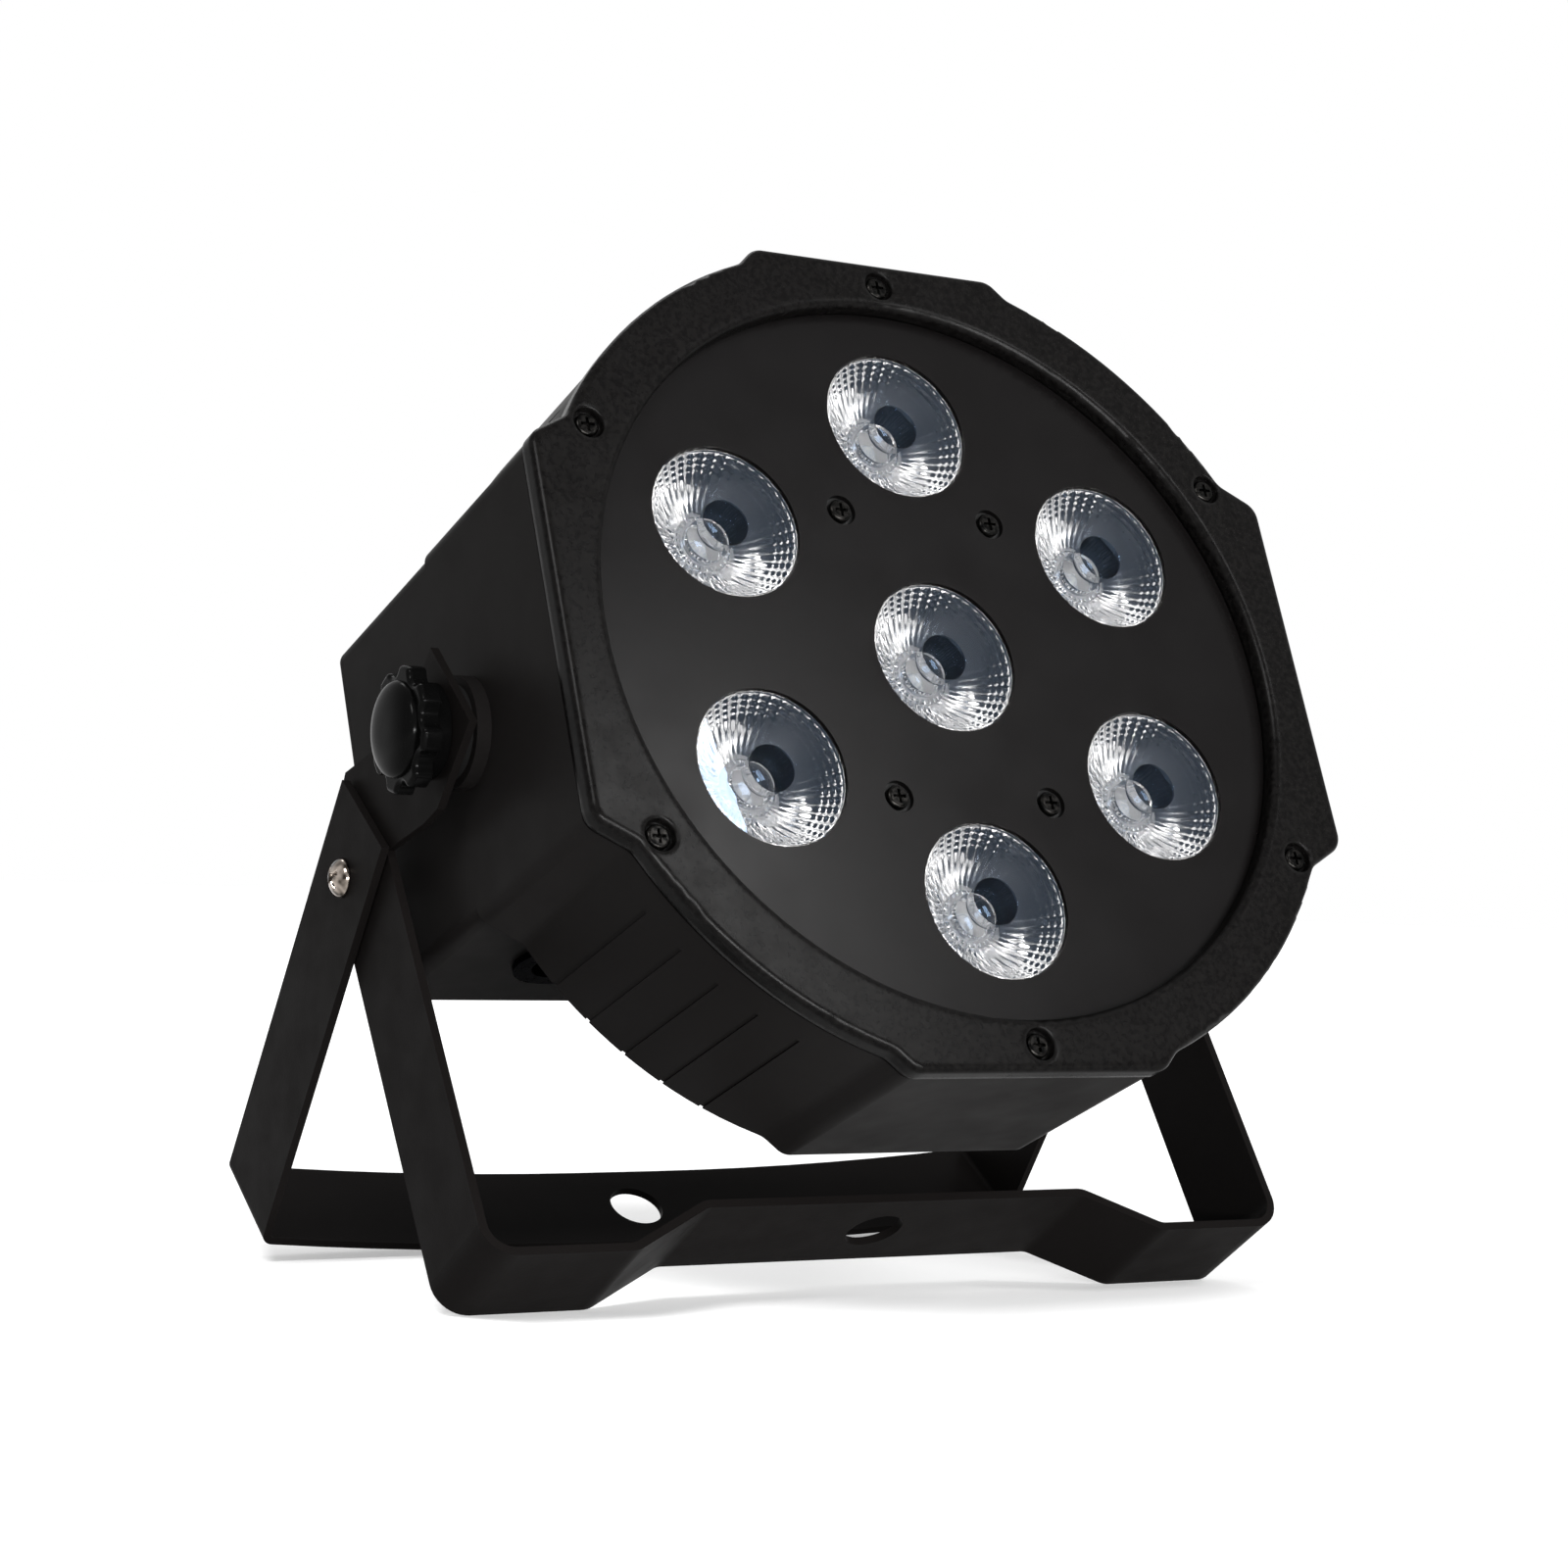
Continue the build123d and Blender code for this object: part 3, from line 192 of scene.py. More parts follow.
links.new(further.outputs["Result"], glow.inputs["To Max"])
links.new(glow.outputs["Result"], shade.inputs["Emission Strength"])
floor_data.materials.append(paper)
print("floor", 2 * FLOOR_RADIUS, "m across")


# %% [markdown]
# ## Studio lamps
#
# Black plastic has almost no colour of its own, so its shape shows only in what it reflects. A key
# lamp stands high on the left and shapes the brackets and the drum. A long thin strip low in front
# draws thin lines along rounded edges. A small card hangs just where the flat front face mirrors it
# to the camera, so the face turns grey from its lower left. One lamp above and behind lifts the top
# edges from the background. A single large dome of light would be simpler, but it would wash every
# black surface to one grey. Widths and heights are in metres, power is in watts.

# %% Hang the soft boxes
def soft_box(name, place, aim, width, height, power, across=(1, 0, 0)):
    """A rectangular lamp that faces a point, with its width along a direction."""
    light = bpy.data.lights.new(name, "AREA")
    light.shape, light.size, light.size_y, light.energy = "RECTANGLE", width, height, power
    lamp = bpy.data.objects.new(name, light)
    bpy.context.scene.collection.objects.link(lamp)
    away = (Vector(place) - Vector(aim)).normalized()
    side = (Vector(across) - away * away.dot(Vector(across))).normalized()
    turned = Matrix((side, away.cross(side), away)).transposed().to_4x4()
    lamp.matrix_world = Matrix.Translation(place) @ turned


MIDDLE, FACE = (0.0, 0.0, 0.12), (0.0, -0.06, 0.15)
ALONG_FACE = (0.86, 0.52, 0)
soft_box("key_left", (-0.88, -0.80, 1.19), MIDDLE, 0.45, 0.45, 20)
soft_box("front_strip", (-0.15, -1.60, 0.11), MIDDLE, 1.4, 0.12, 80)
soft_box("face_card", (0.65, -1.09, 1.04), FACE, 0.24, 0.36, 7, across=ALONG_FACE)
soft_box("top_back", (0.1, 0.9, 1.5), MIDDLE, 0.8, 0.4, 6)


# %% [markdown]
# ## Finishes
#
# Each finish is one Principled shader. What makes it look made rather than painted on a screen is
# unevenness: a fine relief, a roughness that wanders a little, and a colour that does too. All of
# it comes from noise measured in millimetres on the real surface, so a grain is as large as the
# real one from any distance. A picture of a real surface could be laid on instead, but it would
# repeat and leave seams. Five small helpers do the work: noise, relief, softer edges, a wandering
# number and a second tone.

# %% Start a finish and roughen it
def new_finish(name, colour, roughness, metallic=0.0, specular=0.5):
    """A material with one Principled shader, and the shader."""
    made = bpy.data.materials.new(name)
    made.use_nodes = True
    shader = made.node_tree.nodes["Principled BSDF"]
    shader.inputs["Base Color"].default_value = (*colour, 1)
    shader.inputs["Roughness"].default_value = roughness
    shader.inputs["Metallic"].default_value = metallic
    shader.inputs["Specular IOR Level"].default_value = specular
    return made, shader


def noise_of(made, size_mm, detail=2.0, stretch=(1, 1, 1)):
    """Noise whose patches are about size_mm across on the real surface."""
    tree = made.node_tree
    where = tree.nodes.new("ShaderNodeTexCoord")
    scale = tree.nodes.new("ShaderNodeMapping")
    scale.inputs["Scale"].default_value = stretch
    noise = tree.nodes.new("ShaderNodeTexNoise")
    noise.inputs["Scale"].default_value = 1 / (size_mm * MM)
    noise.inputs["Detail"].default_value = detail
    tree.links.new(where.outputs["Object"], scale.inputs["Vector"])
    tree.links.new(scale.outputs["Vector"], noise.inputs["Vector"])
    return noise.outputs["Fac"]


def relief(made, shader, heights, depth_mm, strength=1.0):
    """Raises the surface by a height value, adding to any relief it has."""
    bump = made.node_tree.nodes.new("ShaderNodeBump")
    bump.inputs["Strength"].default_value = strength
    bump.inputs["Distance"].default_value = depth_mm * MM
    before = shader.inputs["Normal"]
    if before.is_linked:
        made.node_tree.links.new(before.links[0].from_socket, bump.inputs["Normal"])
    made.node_tree.links.new(heights, bump.inputs["Height"])
    made.node_tree.links.new(bump.outputs["Normal"], before)


def soften_edges(made, shader, radius_mm):
    """Rounds the look of edges and of the bends between flat facets."""
    rounded = made.node_tree.nodes.new("ShaderNodeBevel")
    rounded.samples = 8
    rounded.inputs["Radius"].default_value = radius_mm * MM
    made.node_tree.links.new(rounded.outputs["Normal"], shader.inputs["Normal"])


NOISE_LOW, NOISE_HIGH = 0.3, 0.7  # nearly all of a noise lies between these


def wander(made, shader, socket, values, low, high):
    """Lets a number of the shader run between low and high as a value does."""
    spread = made.node_tree.nodes.new("ShaderNodeMapRange")
    spread.inputs["From Min"].default_value = NOISE_LOW
    spread.inputs["From Max"].default_value = NOISE_HIGH
    spread.inputs["To Min"].default_value = low
    spread.inputs["To Max"].default_value = high
    made.node_tree.links.new(values, spread.inputs["Value"])
    made.node_tree.links.new(spread.outputs["Result"], shader.inputs[socket])


def two_tone(made, shader, values, dark, light):
    """Mixes two colours over the surface as a value does."""
    ramp = made.node_tree.nodes.new("ShaderNodeValToRGB")
    first, last = ramp.color_ramp.elements
    first.position, last.position = 0.35, 0.65
    first.color, last.color = (*dark, 1), (*light, 1)
    made.node_tree.links.new(values, ramp.inputs["Fac"])
    made.node_tree.links.new(ramp.outputs["Color"], shader.inputs["Base Color"])


dressed = set()


def dress(made, *names):
    """Gives a finish to CAD nodes."""
    for name in names:
        mesh = frame["nodes"][name].data
        mesh.materials.clear()
        mesh.materials.append(made)
        dressed.add(name)


print("helpers ready")

# %% [markdown]
# ### Moulded black plastic
#
# The bezel and the housing are injection moulded. The mould was spark eroded, which leaves a fine
# even grain. The bezel's grain is coarse enough to sparkle a little along its rounded edge, and the
# housing's is finer and duller. A Voronoi pattern would give round cells like leather, so plain
# noise at two sizes is closer. A worn mould rounds its edges too, so a Bevel node turns the bezel's
# normals over the last millimetres without moving the surface.

# %% Bezel and housing plastics
bezel_plastic, shader = new_finish("bezel_plastic", (0.0018, 0.0016, 0.0016), 0.24, specular=0.035)
soften_edges(bezel_plastic, shader, 1.8)
relief(bezel_plastic, shader, noise_of(bezel_plastic, 0.45, 3), 0.02, 0.3)
wander(bezel_plastic, shader, "Roughness", noise_of(bezel_plastic, 7), 0.21, 0.28)
patches = noise_of(bezel_plastic, 1.3, 4)
two_tone(bezel_plastic, shader, patches, (0.001, 0.0009, 0.0009), (0.0026, 0.0024, 0.0023))
dress(bezel_plastic, "front_bezel")

housing_black = (0.0045, 0.0041, 0.004)
housing_plastic, shader = new_finish("housing_plastic", housing_black, 0.36, specular=0.012)
relief(housing_plastic, shader, noise_of(housing_plastic, 0.35, 2), 0.03, 0.35)
wander(housing_plastic, shader, "Roughness", noise_of(housing_plastic, 12), 0.32, 0.42)
dress(housing_plastic, "housing", "rear_cover")
print("moulded:", sorted(dressed))

# %% [markdown]
# ### Painted steel
#
# The lens plate is a thin sheet with a smooth satin coat, and the brackets are powder coated.
# Powder melts into a skin with tiny ripples, called orange peel, so its relief is wider and rounder
# than the grain of a mould. The ripples could be cut into the mesh, but at a twentieth of a
# millimetre they never reach an outline, so a bump does.

# %% Lens plate and brackets
plate_paint, shader = new_finish("plate_paint", (0.0018, 0.0016, 0.0016), 0.22, specular=0.055)
relief(plate_paint, shader, noise_of(plate_paint, 0.3, 2), 0.02, 0.3)
wander(plate_paint, shader, "Roughness", noise_of(plate_paint, 16), 0.2, 0.26)
dress(plate_paint, "lens_plate")

powder_coat, shader = new_finish("powder_coat", (0.0031, 0.0027, 0.0026), 0.42, specular=0.011)
relief(powder_coat, shader, noise_of(powder_coat, 0.7, 3), 0.05, 0.4)
wander(powder_coat, shader, "Roughness", noise_of(powder_coat, 9), 0.38, 0.48)
dress(powder_coat, "front_bracket", "rear_bracket")
print(len(dressed), "nodes dressed")

# %% [markdown]
# ### Knobs, buttons and small plastic parts
#
# The star knobs are moulded in a polished tool, so they are the glossiest pieces, and only their
# roughness wanders, as fingers leave it. Sockets and fuse holder are plain dull mouldings, the lens
# holders are dark grey with a painted blue tint that stands in for bluish light seen in the lenses,
# and the washers are soft rubber with a coarse dry skin. A coat layer could give the gloss too, but
# one low roughness does the same with less.

# %% Polished and plain plastics
knob_gloss, shader = new_finish("knob_gloss", (0.001, 0.001, 0.001), 0.16, specular=0.022)
wander(knob_gloss, shader, "Roughness", noise_of(knob_gloss, 5, 4), 0.13, 0.2)
dress(knob_gloss, "knob_left", "knob_right")

black_plastic, shader = new_finish("black_plastic", (0.006, 0.006, 0.006), 0.4, specular=0.14)
wander(black_plastic, shader, "Roughness", noise_of(black_plastic, 3), 0.34, 0.48)
relief(black_plastic, shader, noise_of(black_plastic, 0.4), 0.02, 0.3)
dress(black_plastic, "power_inlet", "dmx_out_insert", "fuse_holder", "fuse_cap")

# The holders' own colour is dark grey; the blue in it is painted light, standing in for bluish
# light seen through the lenses.
holder_plastic, shader = new_finish("holder_plastic", (0.022, 0.028, 0.037), 0.4, specular=0.3)
wander(holder_plastic, shader, "Roughness", noise_of(holder_plastic, 3), 0.34, 0.48)
dress(holder_plastic, *[f"lens_holder_{n}" for n in range(7)])

button_plastic, shader = new_finish("button_plastic", (0.035, 0.035, 0.037), 0.35)
wander(button_plastic, shader, "Roughness", noise_of(button_plastic, 2), 0.3, 0.42)
dress(button_plastic, *[f"menu_button_{n}" for n in range(4)])

rubber, shader = new_finish("washer_rubber", (0.004, 0.004, 0.004), 0.75, specular=0.03)
wander(rubber, shader, "Roughness", noise_of(rubber, 2), 0.68, 0.82)
relief(rubber, shader, noise_of(rubber, 0.5), 0.03, 0.4)
dress(rubber, "friction_washers")

nylon, shader = new_finish("black_nylon", (0.008, 0.008, 0.008), 0.5, specular=0.1)
wander(nylon, shader, "Roughness", noise_of(nylon, 1.5), 0.44, 0.56)
dress(nylon, "bracket_washers", "plate_standoffs")
print(len(dressed), "nodes dressed")

# %% [markdown]
# ### Metals
#
# Screws show how they were made: blackened steel is dull and slightly brown, plated heads are
# bright. Brushed or turned metal is the same noise stretched in one direction. The connector shells
# are black nickel. A metal goes white where it is seen at a flat angle, which such a thin dark
# plating hardly does, so its tint holds that back.

# %% Screws, nuts, pins and connectors
oxide_brown = (0.004, 0.0038, 0.0035)
black_oxide, shader = new_finish("black_oxide", oxide_brown, 0.28, metallic=0.9, specular=0.1)
wander(black_oxide, shader, "Roughness", noise_of(black_oxide, 1.2, 3), 0.2, 0.36)
# The lighter patches on the blackened screws are painted glints: small bright reflections put into
# the colour.
painted_glints = noise_of(black_oxide, 1.1, 1)
two_tone(black_oxide, shader, painted_glints, (0.001, 0.001, 0.001), (0.008, 0.0075, 0.007))
dress(black_oxide, "bezel_screws", "plate_screws", "rear_cover_screws", "power_inlet_screws")

dark_chrome, shader = new_finish("dark_chrome", (0.17, 0.14, 0.12), 0.12, metallic=1.0)
wander(dark_chrome, shader, "Roughness", noise_of(dark_chrome, 1.5, 3), 0.08, 0.18)
# The light and dark patches on the chrome are painted reflections of a bright room and the dark
# bracket.
painted_reflections = noise_of(dark_chrome, 2.6, 1)
two_tone(dark_chrome, shader, painted_reflections, (0.03, 0.025, 0.02), (0.36, 0.31, 0.27))
dress(dark_chrome, "bracket_screws")

zinc, shader = new_finish("zinc_plate", (0.55, 0.56, 0.58), 0.3, metallic=1.0)
wander(zinc, shader, "Roughness", noise_of(zinc, 1.0, 4, (1, 1, 4)), 0.22, 0.42)
two_tone(zinc, shader, noise_of(zinc, 3), (0.5, 0.51, 0.54), (0.62, 0.62, 0.62))
dress(zinc, "bracket_nuts", "knob_bolt_left", "knob_bolt_right")

brass, shader = new_finish("brass", (0.75, 0.58, 0.3), 0.28, metallic=1.0)
wander(brass, shader, "Roughness", noise_of(brass, 1.0, 3), 0.2, 0.38)
dress(brass, "pivot_inserts", "dmx_in_pins", "power_inlet_pins")

black_nickel, shader = new_finish("black_nickel", (0.012, 0.012, 0.013), 0.34, metallic=1.0)
shader.inputs["Specular Tint"].default_value = (0.42, 0.42, 0.42, 1)
wander(black_nickel, shader, "Roughness", noise_of(black_nickel, 1.5, 3), 0.24, 0.4)
dress(black_nickel, "dmx_in_shell", "dmx_out_shell", "dmx_nuts", "dmx_latch")

aluminium, shader = new_finish("extruded_aluminium", (0.72, 0.73, 0.75), 0.38, metallic=1.0)
wander(aluminium, shader, "Roughness", noise_of(aluminium, 0.8, 4, (6, 1, 1)), 0.3, 0.48)
dress(aluminium, "heat_sink")
print(len(dressed), "nodes dressed")

# %% [markdown]
# ### Inside the head
#
# Little of the inside shows, but the slots in the rear cover and the clear lenses let the eye in. A
# circuit board is fibreglass under lacquer, and its copper tracks show as faint strips: noise
# stretched along the board. The other parts are known by colour alone: yellow tape on the
# transformer, a blue sleeve on a capacitor, pale resin on an emitter. Solder joints and small chips
# could be modelled too, but no slot is wide enough to show them.

# %% Boards and parts
board_green, shader = new_finish("solder_mask_green", (0.02, 0.12, 0.05), 0.35)
tracks = noise_of(board_green, 2.5, 5, (1, 4, 4))
two_tone(board_green, shader, tracks, (0.015, 0.09, 0.035), (0.03, 0.16, 0.07))
dress(board_green, "control_board", "power_board")

board_white, shader = new_finish("solder_mask_white", (0.55, 0.55, 0.55), 0.35)
two_tone(board_white, shader, noise_of(board_white, 6), (0.5, 0.5, 0.51), (0.58, 0.58, 0.58))
dress(board_white, "led_board")

resin, shader = new_finish("emitter_resin", (0.75, 0.78, 0.82), 0.12)
two_tone(resin, shader, noise_of(resin, 0.8), (0.62, 0.66, 0.72), (0.85, 0.87, 0.88))
dress(resin, "led_emitters")

tape, shader = new_finish("winding_tape", (0.7, 0.52, 0.1), 0.45)
relief(tape, shader, noise_of(tape, 2.0, 1, (8, 1, 1)), 0.1, 0.6)
two_tone(tape, shader, noise_of(tape, 3), (0.66, 0.48, 0.09), (0.76, 0.57, 0.13))
dress(tape, "transformer")

sleeve, shader = new_finish("capacitor_sleeve", (0.03, 0.05, 0.16), 0.3)
wander(sleeve, shader, "Roughness", noise_of(sleeve, 2), 0.24, 0.38)
dress(sleeve, "filter_capacitors")

fuse_glass, shader = new_finish("fuse_glass", (0.8, 0.84, 0.84), 0.08)
wander(fuse_glass, shader, "Roughness", noise_of(fuse_glass, 2), 0.05, 0.12)
dress(fuse_glass, "fuse")

display_face, shader = new_finish("display_face", (0.02, 0.018, 0.018), 0.3)
wander(display_face, shader, "Roughness", noise_of(display_face, 2), 0.26, 0.36)
dress(display_face, "display")

smoked, shader = new_finish("smoked_window", (0.05, 0.035, 0.035), 0.09, specular=0.15)
shader.inputs["Transmission Weight"].default_value = 0.6
wander(smoked, shader, "Roughness", noise_of(smoked, 8), 0.07, 0.12)
dress(smoked, "display_window")
print(len(dressed), "nodes dressed")

# %% [markdown]
# ## The lenses
#
# Each emitter sits at the foot of a clear acrylic cup. Light that would miss is turned forwards by
# the cup's flank, which works as a mirror without any silver: inside clear plastic, light that
# meets the wall at a shallow angle is wholly reflected. That is why a lens looks silver on one side
# and empty on the other. The flank is cut into small pillows that blur the beam. Painting such a
# pattern on would fail from the next angle, so the pillows are real relief and the shader is real
# clear plastic.

# %% Clear acrylic
acrylic, shader = new_finish("clear_acrylic", (0.61, 0.615, 0.625), 0.0, specular=0.5)
shader.inputs["Transmission Weight"].default_value = 1.0
shader.inputs["IOR"].default_value = 1.49
# The blue Specular Tint is a painted reflection colour: it makes what the lens mirrors look bluish,
# standing in for bluish light.
shader.inputs["Specular Tint"].default_value = (0.38, 0.56, 0.85, 1)
relief(acrylic, shader, noise_of(acrylic, 4, 1), 0.01, 0.15)
print("acrylic bends light by", shader.inputs["IOR"].default_value)

# %% [markdown]
# ### The shape of one lens
#
# A lens is turned round its axis, so its outline is written once, from the middle of the front face
# over the rim and down the flank to the hollow over the emitter. The well in the front face ends in
# a small domed lens for the light that goes straight ahead. The foot stands on the board with a
# ring of teeth. A Spin modifier could turn the outline, but the ribs, the pillows and the teeth
# change from point to point round the axis, so the rings are laid one by one.

# %% Sizes of one lens
span_right, span_up, span_forward = head_box("lens_0")
LENS_DEPTH = span_forward[1] - span_forward[0]
FLANGE_OUT = (span_right[1] - span_right[0]) / 2
LENS_RIM, WAIST = 18.8 * MM, 7.1 * MM
FLANGE_TOP, FLANGE_FOOT = 1.0 * MM, 2.5 * MM
WELL_MOUTH, WELL_FOOT, WELL_DEPTH, WELL_DOME = 5.6 * MM, 5.1 * MM, 8.0 * MM, 1.9 * MM
HOLLOW, HOLLOW_DEPTH = 5.3 * MM, 4.5 * MM
TOOTH_OUT, TOOTH_IN, TOOTH_RISE = 6.8 * MM, 6.1 * MM, 0.8 * MM
ROUNDING, LIP, TOOTH_LIP = 0.3 * MM, 0.25 * MM, 0.05 * MM
FACE_RINGS = (9.5 * MM, 14.0 * MM)
FLANK_CURVE, PILLOWS_FADE = 0.72, 0.65
RIBS, FLANK_ROWS, PILLOW_ROWS = 42, 9, 4
POINTS_PER_RIB, RINGS_PER_PILLOW, POINTS_PER_TOOTH = 4, 4, 3
RIB_RISE, PILLOW_RISE = 0.19 * MM, 0.20 * MM
ROUND = RIBS * POINTS_PER_RIB
print("a lens is", round(2 * FLANGE_OUT / MM, 1), "mm across")
print("and", round(LENS_DEPTH / MM, 1), "mm deep")


# %% The curve of the flank
NEARBY = 0.01  # step for reading the slope


def flank(share):
    """Radius and depth on the flank, from 0 under the flange to 1 at the waist."""
    radius = WAIST + (LENS_RIM - WAIST) * (1 - share) ** FLANK_CURVE
    return radius, FLANGE_FOOT + (LENS_DEPTH - FLANGE_FOOT) * share


def flank_outward(share):
    """Direction straight out of the flank, as radius and depth."""
    before, after = flank(max(0.0, share - NEARBY)), flank(min(1.0, share + NEARBY))
    run, fall = before[0] - after[0], after[1] - before[1]
    return fall / math.hypot(run, fall), run / math.hypot(run, fall)


print("half way down, the flank is", round(flank(0.5)[0] / MM, 1), "mm from the axis")

# %% [markdown]
# Ribs run down the whole flank. Under the rim, rows of pillows cross them, and each row is a little
# flatter than the one before, so that the pattern melts away towards the foot.


# %% One ring of ribs and pillows
def flank_ring(row, part):
    """Points of the ring that lies a part of the way down a row."""
    share = (row + part) / FLANK_ROWS
    radius, depth = flank(share)
    outward, downward = flank_outward(share)
    rib = RIB_RISE * radius / LENS_RIM
    pillow = 0.0
    if row < PILLOW_ROWS:
        pillow = PILLOW_RISE * (1 - PILLOWS_FADE * row / PILLOW_ROWS) * math.sin(math.pi * part)
    ring = []
    for n in range(ROUND):
        across = abs(math.sin(math.pi * n / POINTS_PER_RIB))
        rise = rib * across + pillow * math.sqrt(across)
        ring.append((radius + outward * rise, depth + downward * rise))
    return ring


print("a ring has", len(flank_ring(0, 0.0)), "points")


# %% All rings of a lens
def lens_rings():
    """Pairs of a ring and whether the surface has an edge there."""
    rings = []

    def plain(radius, depth, edge=False):
        rings.append(([(radius, depth)] * ROUND, edge))

    for part in (0.15, 0.35, 0.55, 0.75, 0.9):
        plain(part * WELL_FOOT, WELL_DEPTH - WELL_DOME * (1 - part * part))
    plain(WELL_FOOT, WELL_DEPTH, True)
    plain(WELL_MOUTH, LIP)
    plain(WELL_MOUTH + ROUNDING, 0.0, True)
    for radius in FACE_RINGS:
        plain(radius, 0.0)
    plain(LENS_RIM - ROUNDING, 0.0, True)
    plain(LENS_RIM, ROUNDING, True)
    plain(LENS_RIM, FLANGE_TOP, True)
    plain(FLANGE_OUT, FLANGE_TOP, True)
    plain(FLANGE_OUT, FLANGE_FOOT, True)
    for row in range(FLANK_ROWS):
        steps = RINGS_PER_PILLOW if row <= PILLOW_ROWS else 1
        for step in range(steps):
            rings.append((flank_ring(row, step / steps), row == 0 and step == 0))
    rings.append((flank_ring(FLANK_ROWS, 0.0), True))
    plain(WAIST - LIP, LENS_DEPTH, True)
    teeth = [LENS_DEPTH - TOOTH_RISE * (n // POINTS_PER_TOOTH % 2) for n in range(ROUND)]
    for radius in (TOOTH_OUT, TOOTH_IN):
        rings.append(([(radius, depth) for depth in teeth], True))
    plain(TOOTH_IN - TOOTH_LIP, LENS_DEPTH, True)
    plain(HOLLOW, LENS_DEPTH, True)
    plain(HOLLOW, LENS_DEPTH - HOLLOW_DEPTH, True)
    for part in (0.75, 0.5, 0.25):
        plain(part * HOLLOW, LENS_DEPTH - HOLLOW_DEPTH)
    return rings


print(len(lens_rings()), "rings of", ROUND, "points")

# %% [markdown]
# The rings become a closed skin of four-sided faces. All of it is shaded smooth, because each
# pillow is a tiny curved mirror, and the rings that form an edge are marked sharp. The same skin
# serves for the screw heads and knob caps further down.


# %% Skin the rings
def skin(name, rings, first_depth, last_depth, finish, places=(Matrix.Identity(4),)):
    """Closed mesh over rings of radius and depth, behind +Z, once for each place."""
    made = bmesh.new()
    for place in places:
        grid = []
        for ring, edge in rings:
            row = []
            for n, (radius, depth) in enumerate(ring):
                angle = 2 * math.pi * n / len(ring)
                spot = Vector((radius * math.cos(angle), radius * math.sin(angle), -depth))
                row.append(made.verts.new(place @ spot))
            grid.append((row, edge))
        around = range(len(grid[0][0]))
        for (upper, _), (lower, _) in zip(grid, grid[1:]):
            for n in around:
                made.faces.new((upper[n - 1], lower[n - 1], lower[n], upper[n]))
        for row, depth in ((grid[0][0], first_depth), (grid[-1][0], last_depth)):
            middle = made.verts.new(place @ Vector((0, 0, -depth)))
            for n in around:
                made.faces.new((middle, row[n - 1], row[n]))
        for row in [row for row, edge in grid if edge]:
            for n in around:
                made.edges.get((row[n - 1], row[n])).smooth = False
    for face in made.faces:
        face.smooth = True
    bmesh.ops.recalc_face_normals(made, faces=made.faces)
    mesh = bpy.data.meshes.new(name)
    made.to_mesh(mesh)
    made.free()
    mesh.materials.append(finish)
    return mesh


dome_top, hollow_top = WELL_DEPTH - WELL_DOME, LENS_DEPTH - HOLLOW_DEPTH
faceted_lens = skin("faceted_lens", lens_rings(), dome_top, hollow_top, acrylic)
print("a lens has", len(faceted_lens.polygons), "faces")

# %% Put the seven lenses in place
for number in range(7):
    span_right, span_up, span_forward = head_box(f"lens_{number}")
    lens = bpy.data.objects.new(f"faceted_lens_{number}", faceted_lens)
    bpy.context.scene.collection.objects.link(lens)
    spot = head_point(sum(span_right) / 2, sum(span_up) / 2, span_forward[1])
    axes = Matrix((HEAD_RIGHT, HEAD_UP, HEAD_FORWARD)).transposed().to_4x4()
    lens.matrix_world = Matrix.Translation(spot) @ axes
    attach(lens, "head")
    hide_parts(f"lens_{number}")
    dress(acrylic, f"lens_{number}")
print("lenses placed;", len(frame["nodes"]) - len(dressed), "nodes left to dress")

# %% [markdown]
# ## Screw heads and knob caps
#
# The rear bracket turns on two domed screws of dark chrome. Their cross recess is stamped: four
# arms that grow shallower outwards. The recess is cut by lowering the rings where an arm passes,
# because a Boolean cut would leave long thin faces on the dome, and those show in a mirror finish.

# %% Sizes of a screw head
screw_points = [v.co for v in frame["nodes"]["bracket_screws"].data.vertices if v.co.x < 0]
SCREW_TIP, SCREW_END = min(p.x for p in screw_points), max(p.x for p in screw_points)
SCREW_Y = (min(p.y for p in screw_points) + max(p.y for p in screw_points)) / 2
SCREW_Z = (min(p.z for p in screw_points) + max(p.z for p in screw_points)) / 2
HEAD_RADIUS = (max(p.y for p in screw_points) - min(p.y for p in screw_points)) / 2
HEAD_HEIGHT, SHANK = 3.0 * MM, 2.5 * MM
ARM_REACH, ARM_HALF, ARM_DEPTH, ARM_SLOPE = 2.9 * MM, 0.6 * MM, 1.9 * MM, 0.16 * MM
ARM_FADE = 0.6
LEFT_TWIST, RIGHT_TWIST = 0.5, 0.2
HEAD_STEPS, HEAD_RINGS = 96, 26
print("screw heads are", round(2 * HEAD_RADIUS / MM, 1), "mm across")


# %% One screw with its recess
def recess(radius, angle):
    """How deep the cross is at a point of the head."""
    along = max(abs(radius * math.cos(angle)), abs(radius * math.sin(angle)))
    aside = min(abs(radius * math.cos(angle)), abs(radius * math.sin(angle)))
    wall = min(1.0, max(0.0, (ARM_HALF - aside) / ARM_SLOPE))
    end = min(1.0, max(0.0, (ARM_REACH - along) / ARM_SLOPE))
    return ARM_DEPTH * (1 - ARM_FADE * along / ARM_REACH) * min(wall, end)


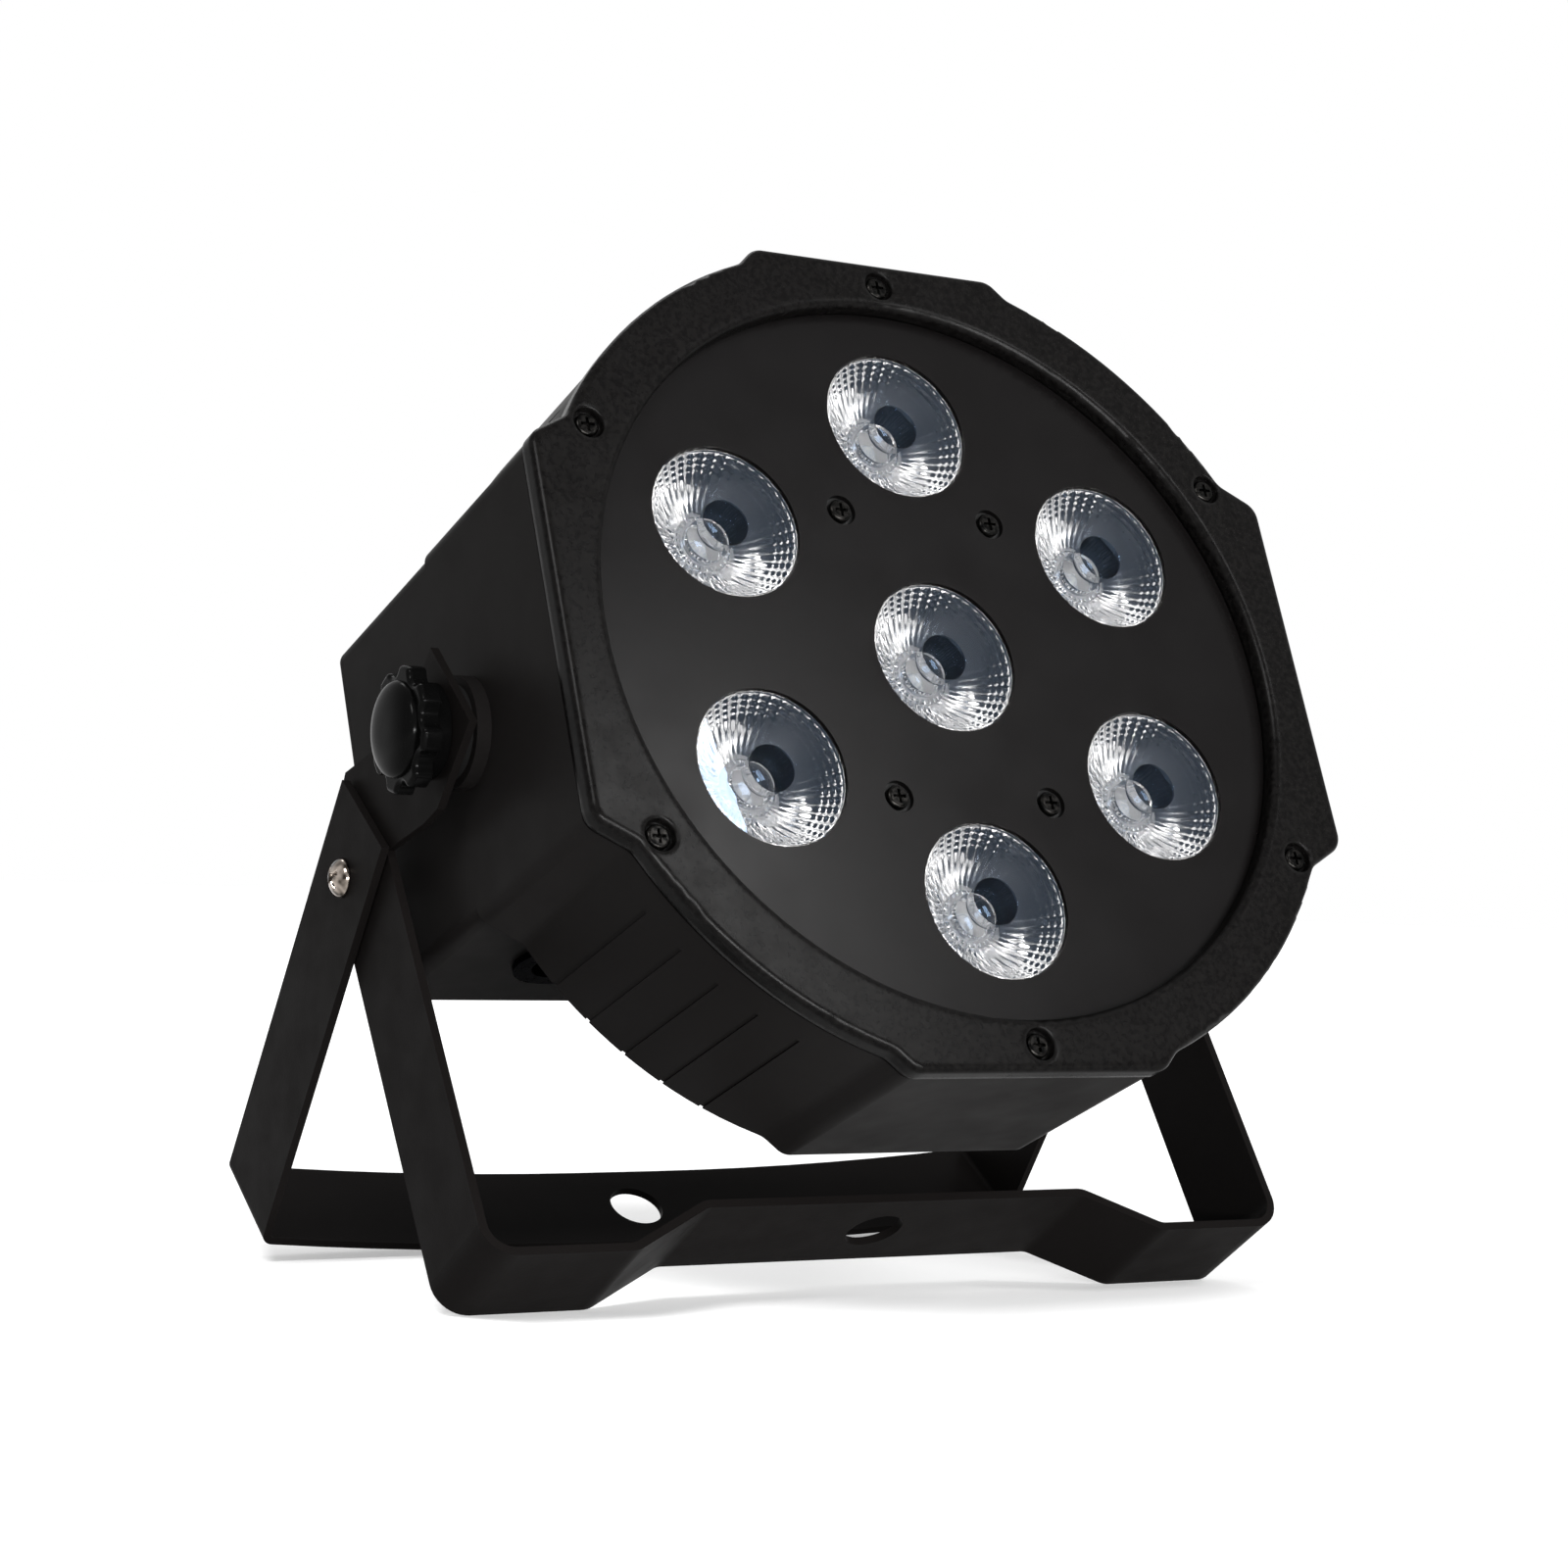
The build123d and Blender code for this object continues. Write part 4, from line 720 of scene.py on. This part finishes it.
def screw_rings():
    """Rings of a domed head and its shank."""
    rings = []
    for step in range(1, HEAD_RINGS + 1):
        radius = HEAD_RADIUS * math.sin(math.pi / 2 * step / HEAD_RINGS)
        dome = HEAD_HEIGHT * (1 - math.sqrt(max(0.0, 1 - (radius / HEAD_RADIUS) ** 2)))
        turns = [2 * math.pi * n / HEAD_STEPS for n in range(HEAD_STEPS)]
        rings.append(([(radius, dome + recess(radius, turn)) for turn in turns], False))
    for radius, depth in ((SHANK, HEAD_HEIGHT), (SHANK, SCREW_END - SCREW_TIP)):
        rings.append(([(radius, depth)] * HEAD_STEPS, True))
    return rings


print(len(screw_rings()), "rings in a screw")

# %% [markdown]
# A screw is never tightened to a round angle, so each of the two stands a little turned.

# %% Put in both bracket screws
places = []
for side, twist in ((-1, LEFT_TWIST), (1, RIGHT_TWIST)):
    outward = Vector((side, 0, 0))
    upright = Vector((0, math.sin(twist), math.cos(twist)))
    axes = Matrix((upright.cross(outward), upright, outward)).transposed().to_4x4()
    places.append(Matrix.Translation((-side * SCREW_TIP, SCREW_Y, SCREW_Z)) @ axes)
heads = skin("domed_screws", screw_rings(), ARM_DEPTH, SCREW_END - SCREW_TIP, dark_chrome, places)
domed_screws = bpy.data.objects.new("domed_screws", heads)
bpy.context.scene.collection.objects.link(domed_screws)
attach(domed_screws, "front_bracket")
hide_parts("bracket_screws")
print("two screws with", len(heads.polygons), "faces")

# %% [markdown]
# The top of a star knob is a polished cap. It isn't flat: it bulges, steeply at its edge and gently
# in the middle, so that one lamp draws a thin bright line round it. A squared circle gives just
# that section.

# %% Bulge the knob caps
CAP_RADIUS, CAP_FOOT, CAP_RISE, CAP_SKIRT = 11.05 * MM, 1.9 * MM, 1.2 * MM, 0.2 * MM
CAP_STEPS, CAP_RINGS = 96, 24
CAP_SQUARENESS = 3
cap_rings = []
for step in range(1, CAP_RINGS + 1):
    share = math.sin(math.pi / 2 * step / CAP_RINGS)
    bulge = (CAP_FOOT + CAP_RISE) * math.sqrt(max(0.0, 1 - share**CAP_SQUARENESS))
    cap_rings.append(([(CAP_RADIUS * share, CAP_FOOT - bulge)] * CAP_STEPS, False))
cap_end = CAP_FOOT + CAP_SKIRT
cap_rings.append(([(CAP_RADIUS, cap_end)] * CAP_STEPS, True))
for side, name in ((-1, "left"), (1, "right")):
    points = [vertex.co for vertex in frame["nodes"][f"knob_{name}"].data.vertices]
    tip = max(abs(point.x) for point in points)
    hub = joints[f"knob_{name}_turn"]["pos_m"]
    turn = Matrix(((0, 0, side), (side, 0, 0), (0, 1, 0))).to_4x4()
    place = Matrix.Translation((side * tip, hub[1], hub[2])) @ turn
    cap = skin(f"knob_cap_{name}", cap_rings, -CAP_RISE, cap_end, knob_gloss, [place])
    knob_cap = bpy.data.objects.new(f"knob_cap_{name}", cap)
    bpy.context.scene.collection.objects.link(knob_cap)
    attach(knob_cap, f"knob_{name}")
print("knob caps bulge by", round(CAP_RISE / MM, 1), "mm")

# %% [markdown]
# ## Last check
#
# Every CAD node must have a finish, or the script stops here.

# %% Check that every CAD node has a finish
assert set(frame["nodes"]) == dressed, sorted(set(frame["nodes"]) - dressed)
bpy.context.view_layer.update()
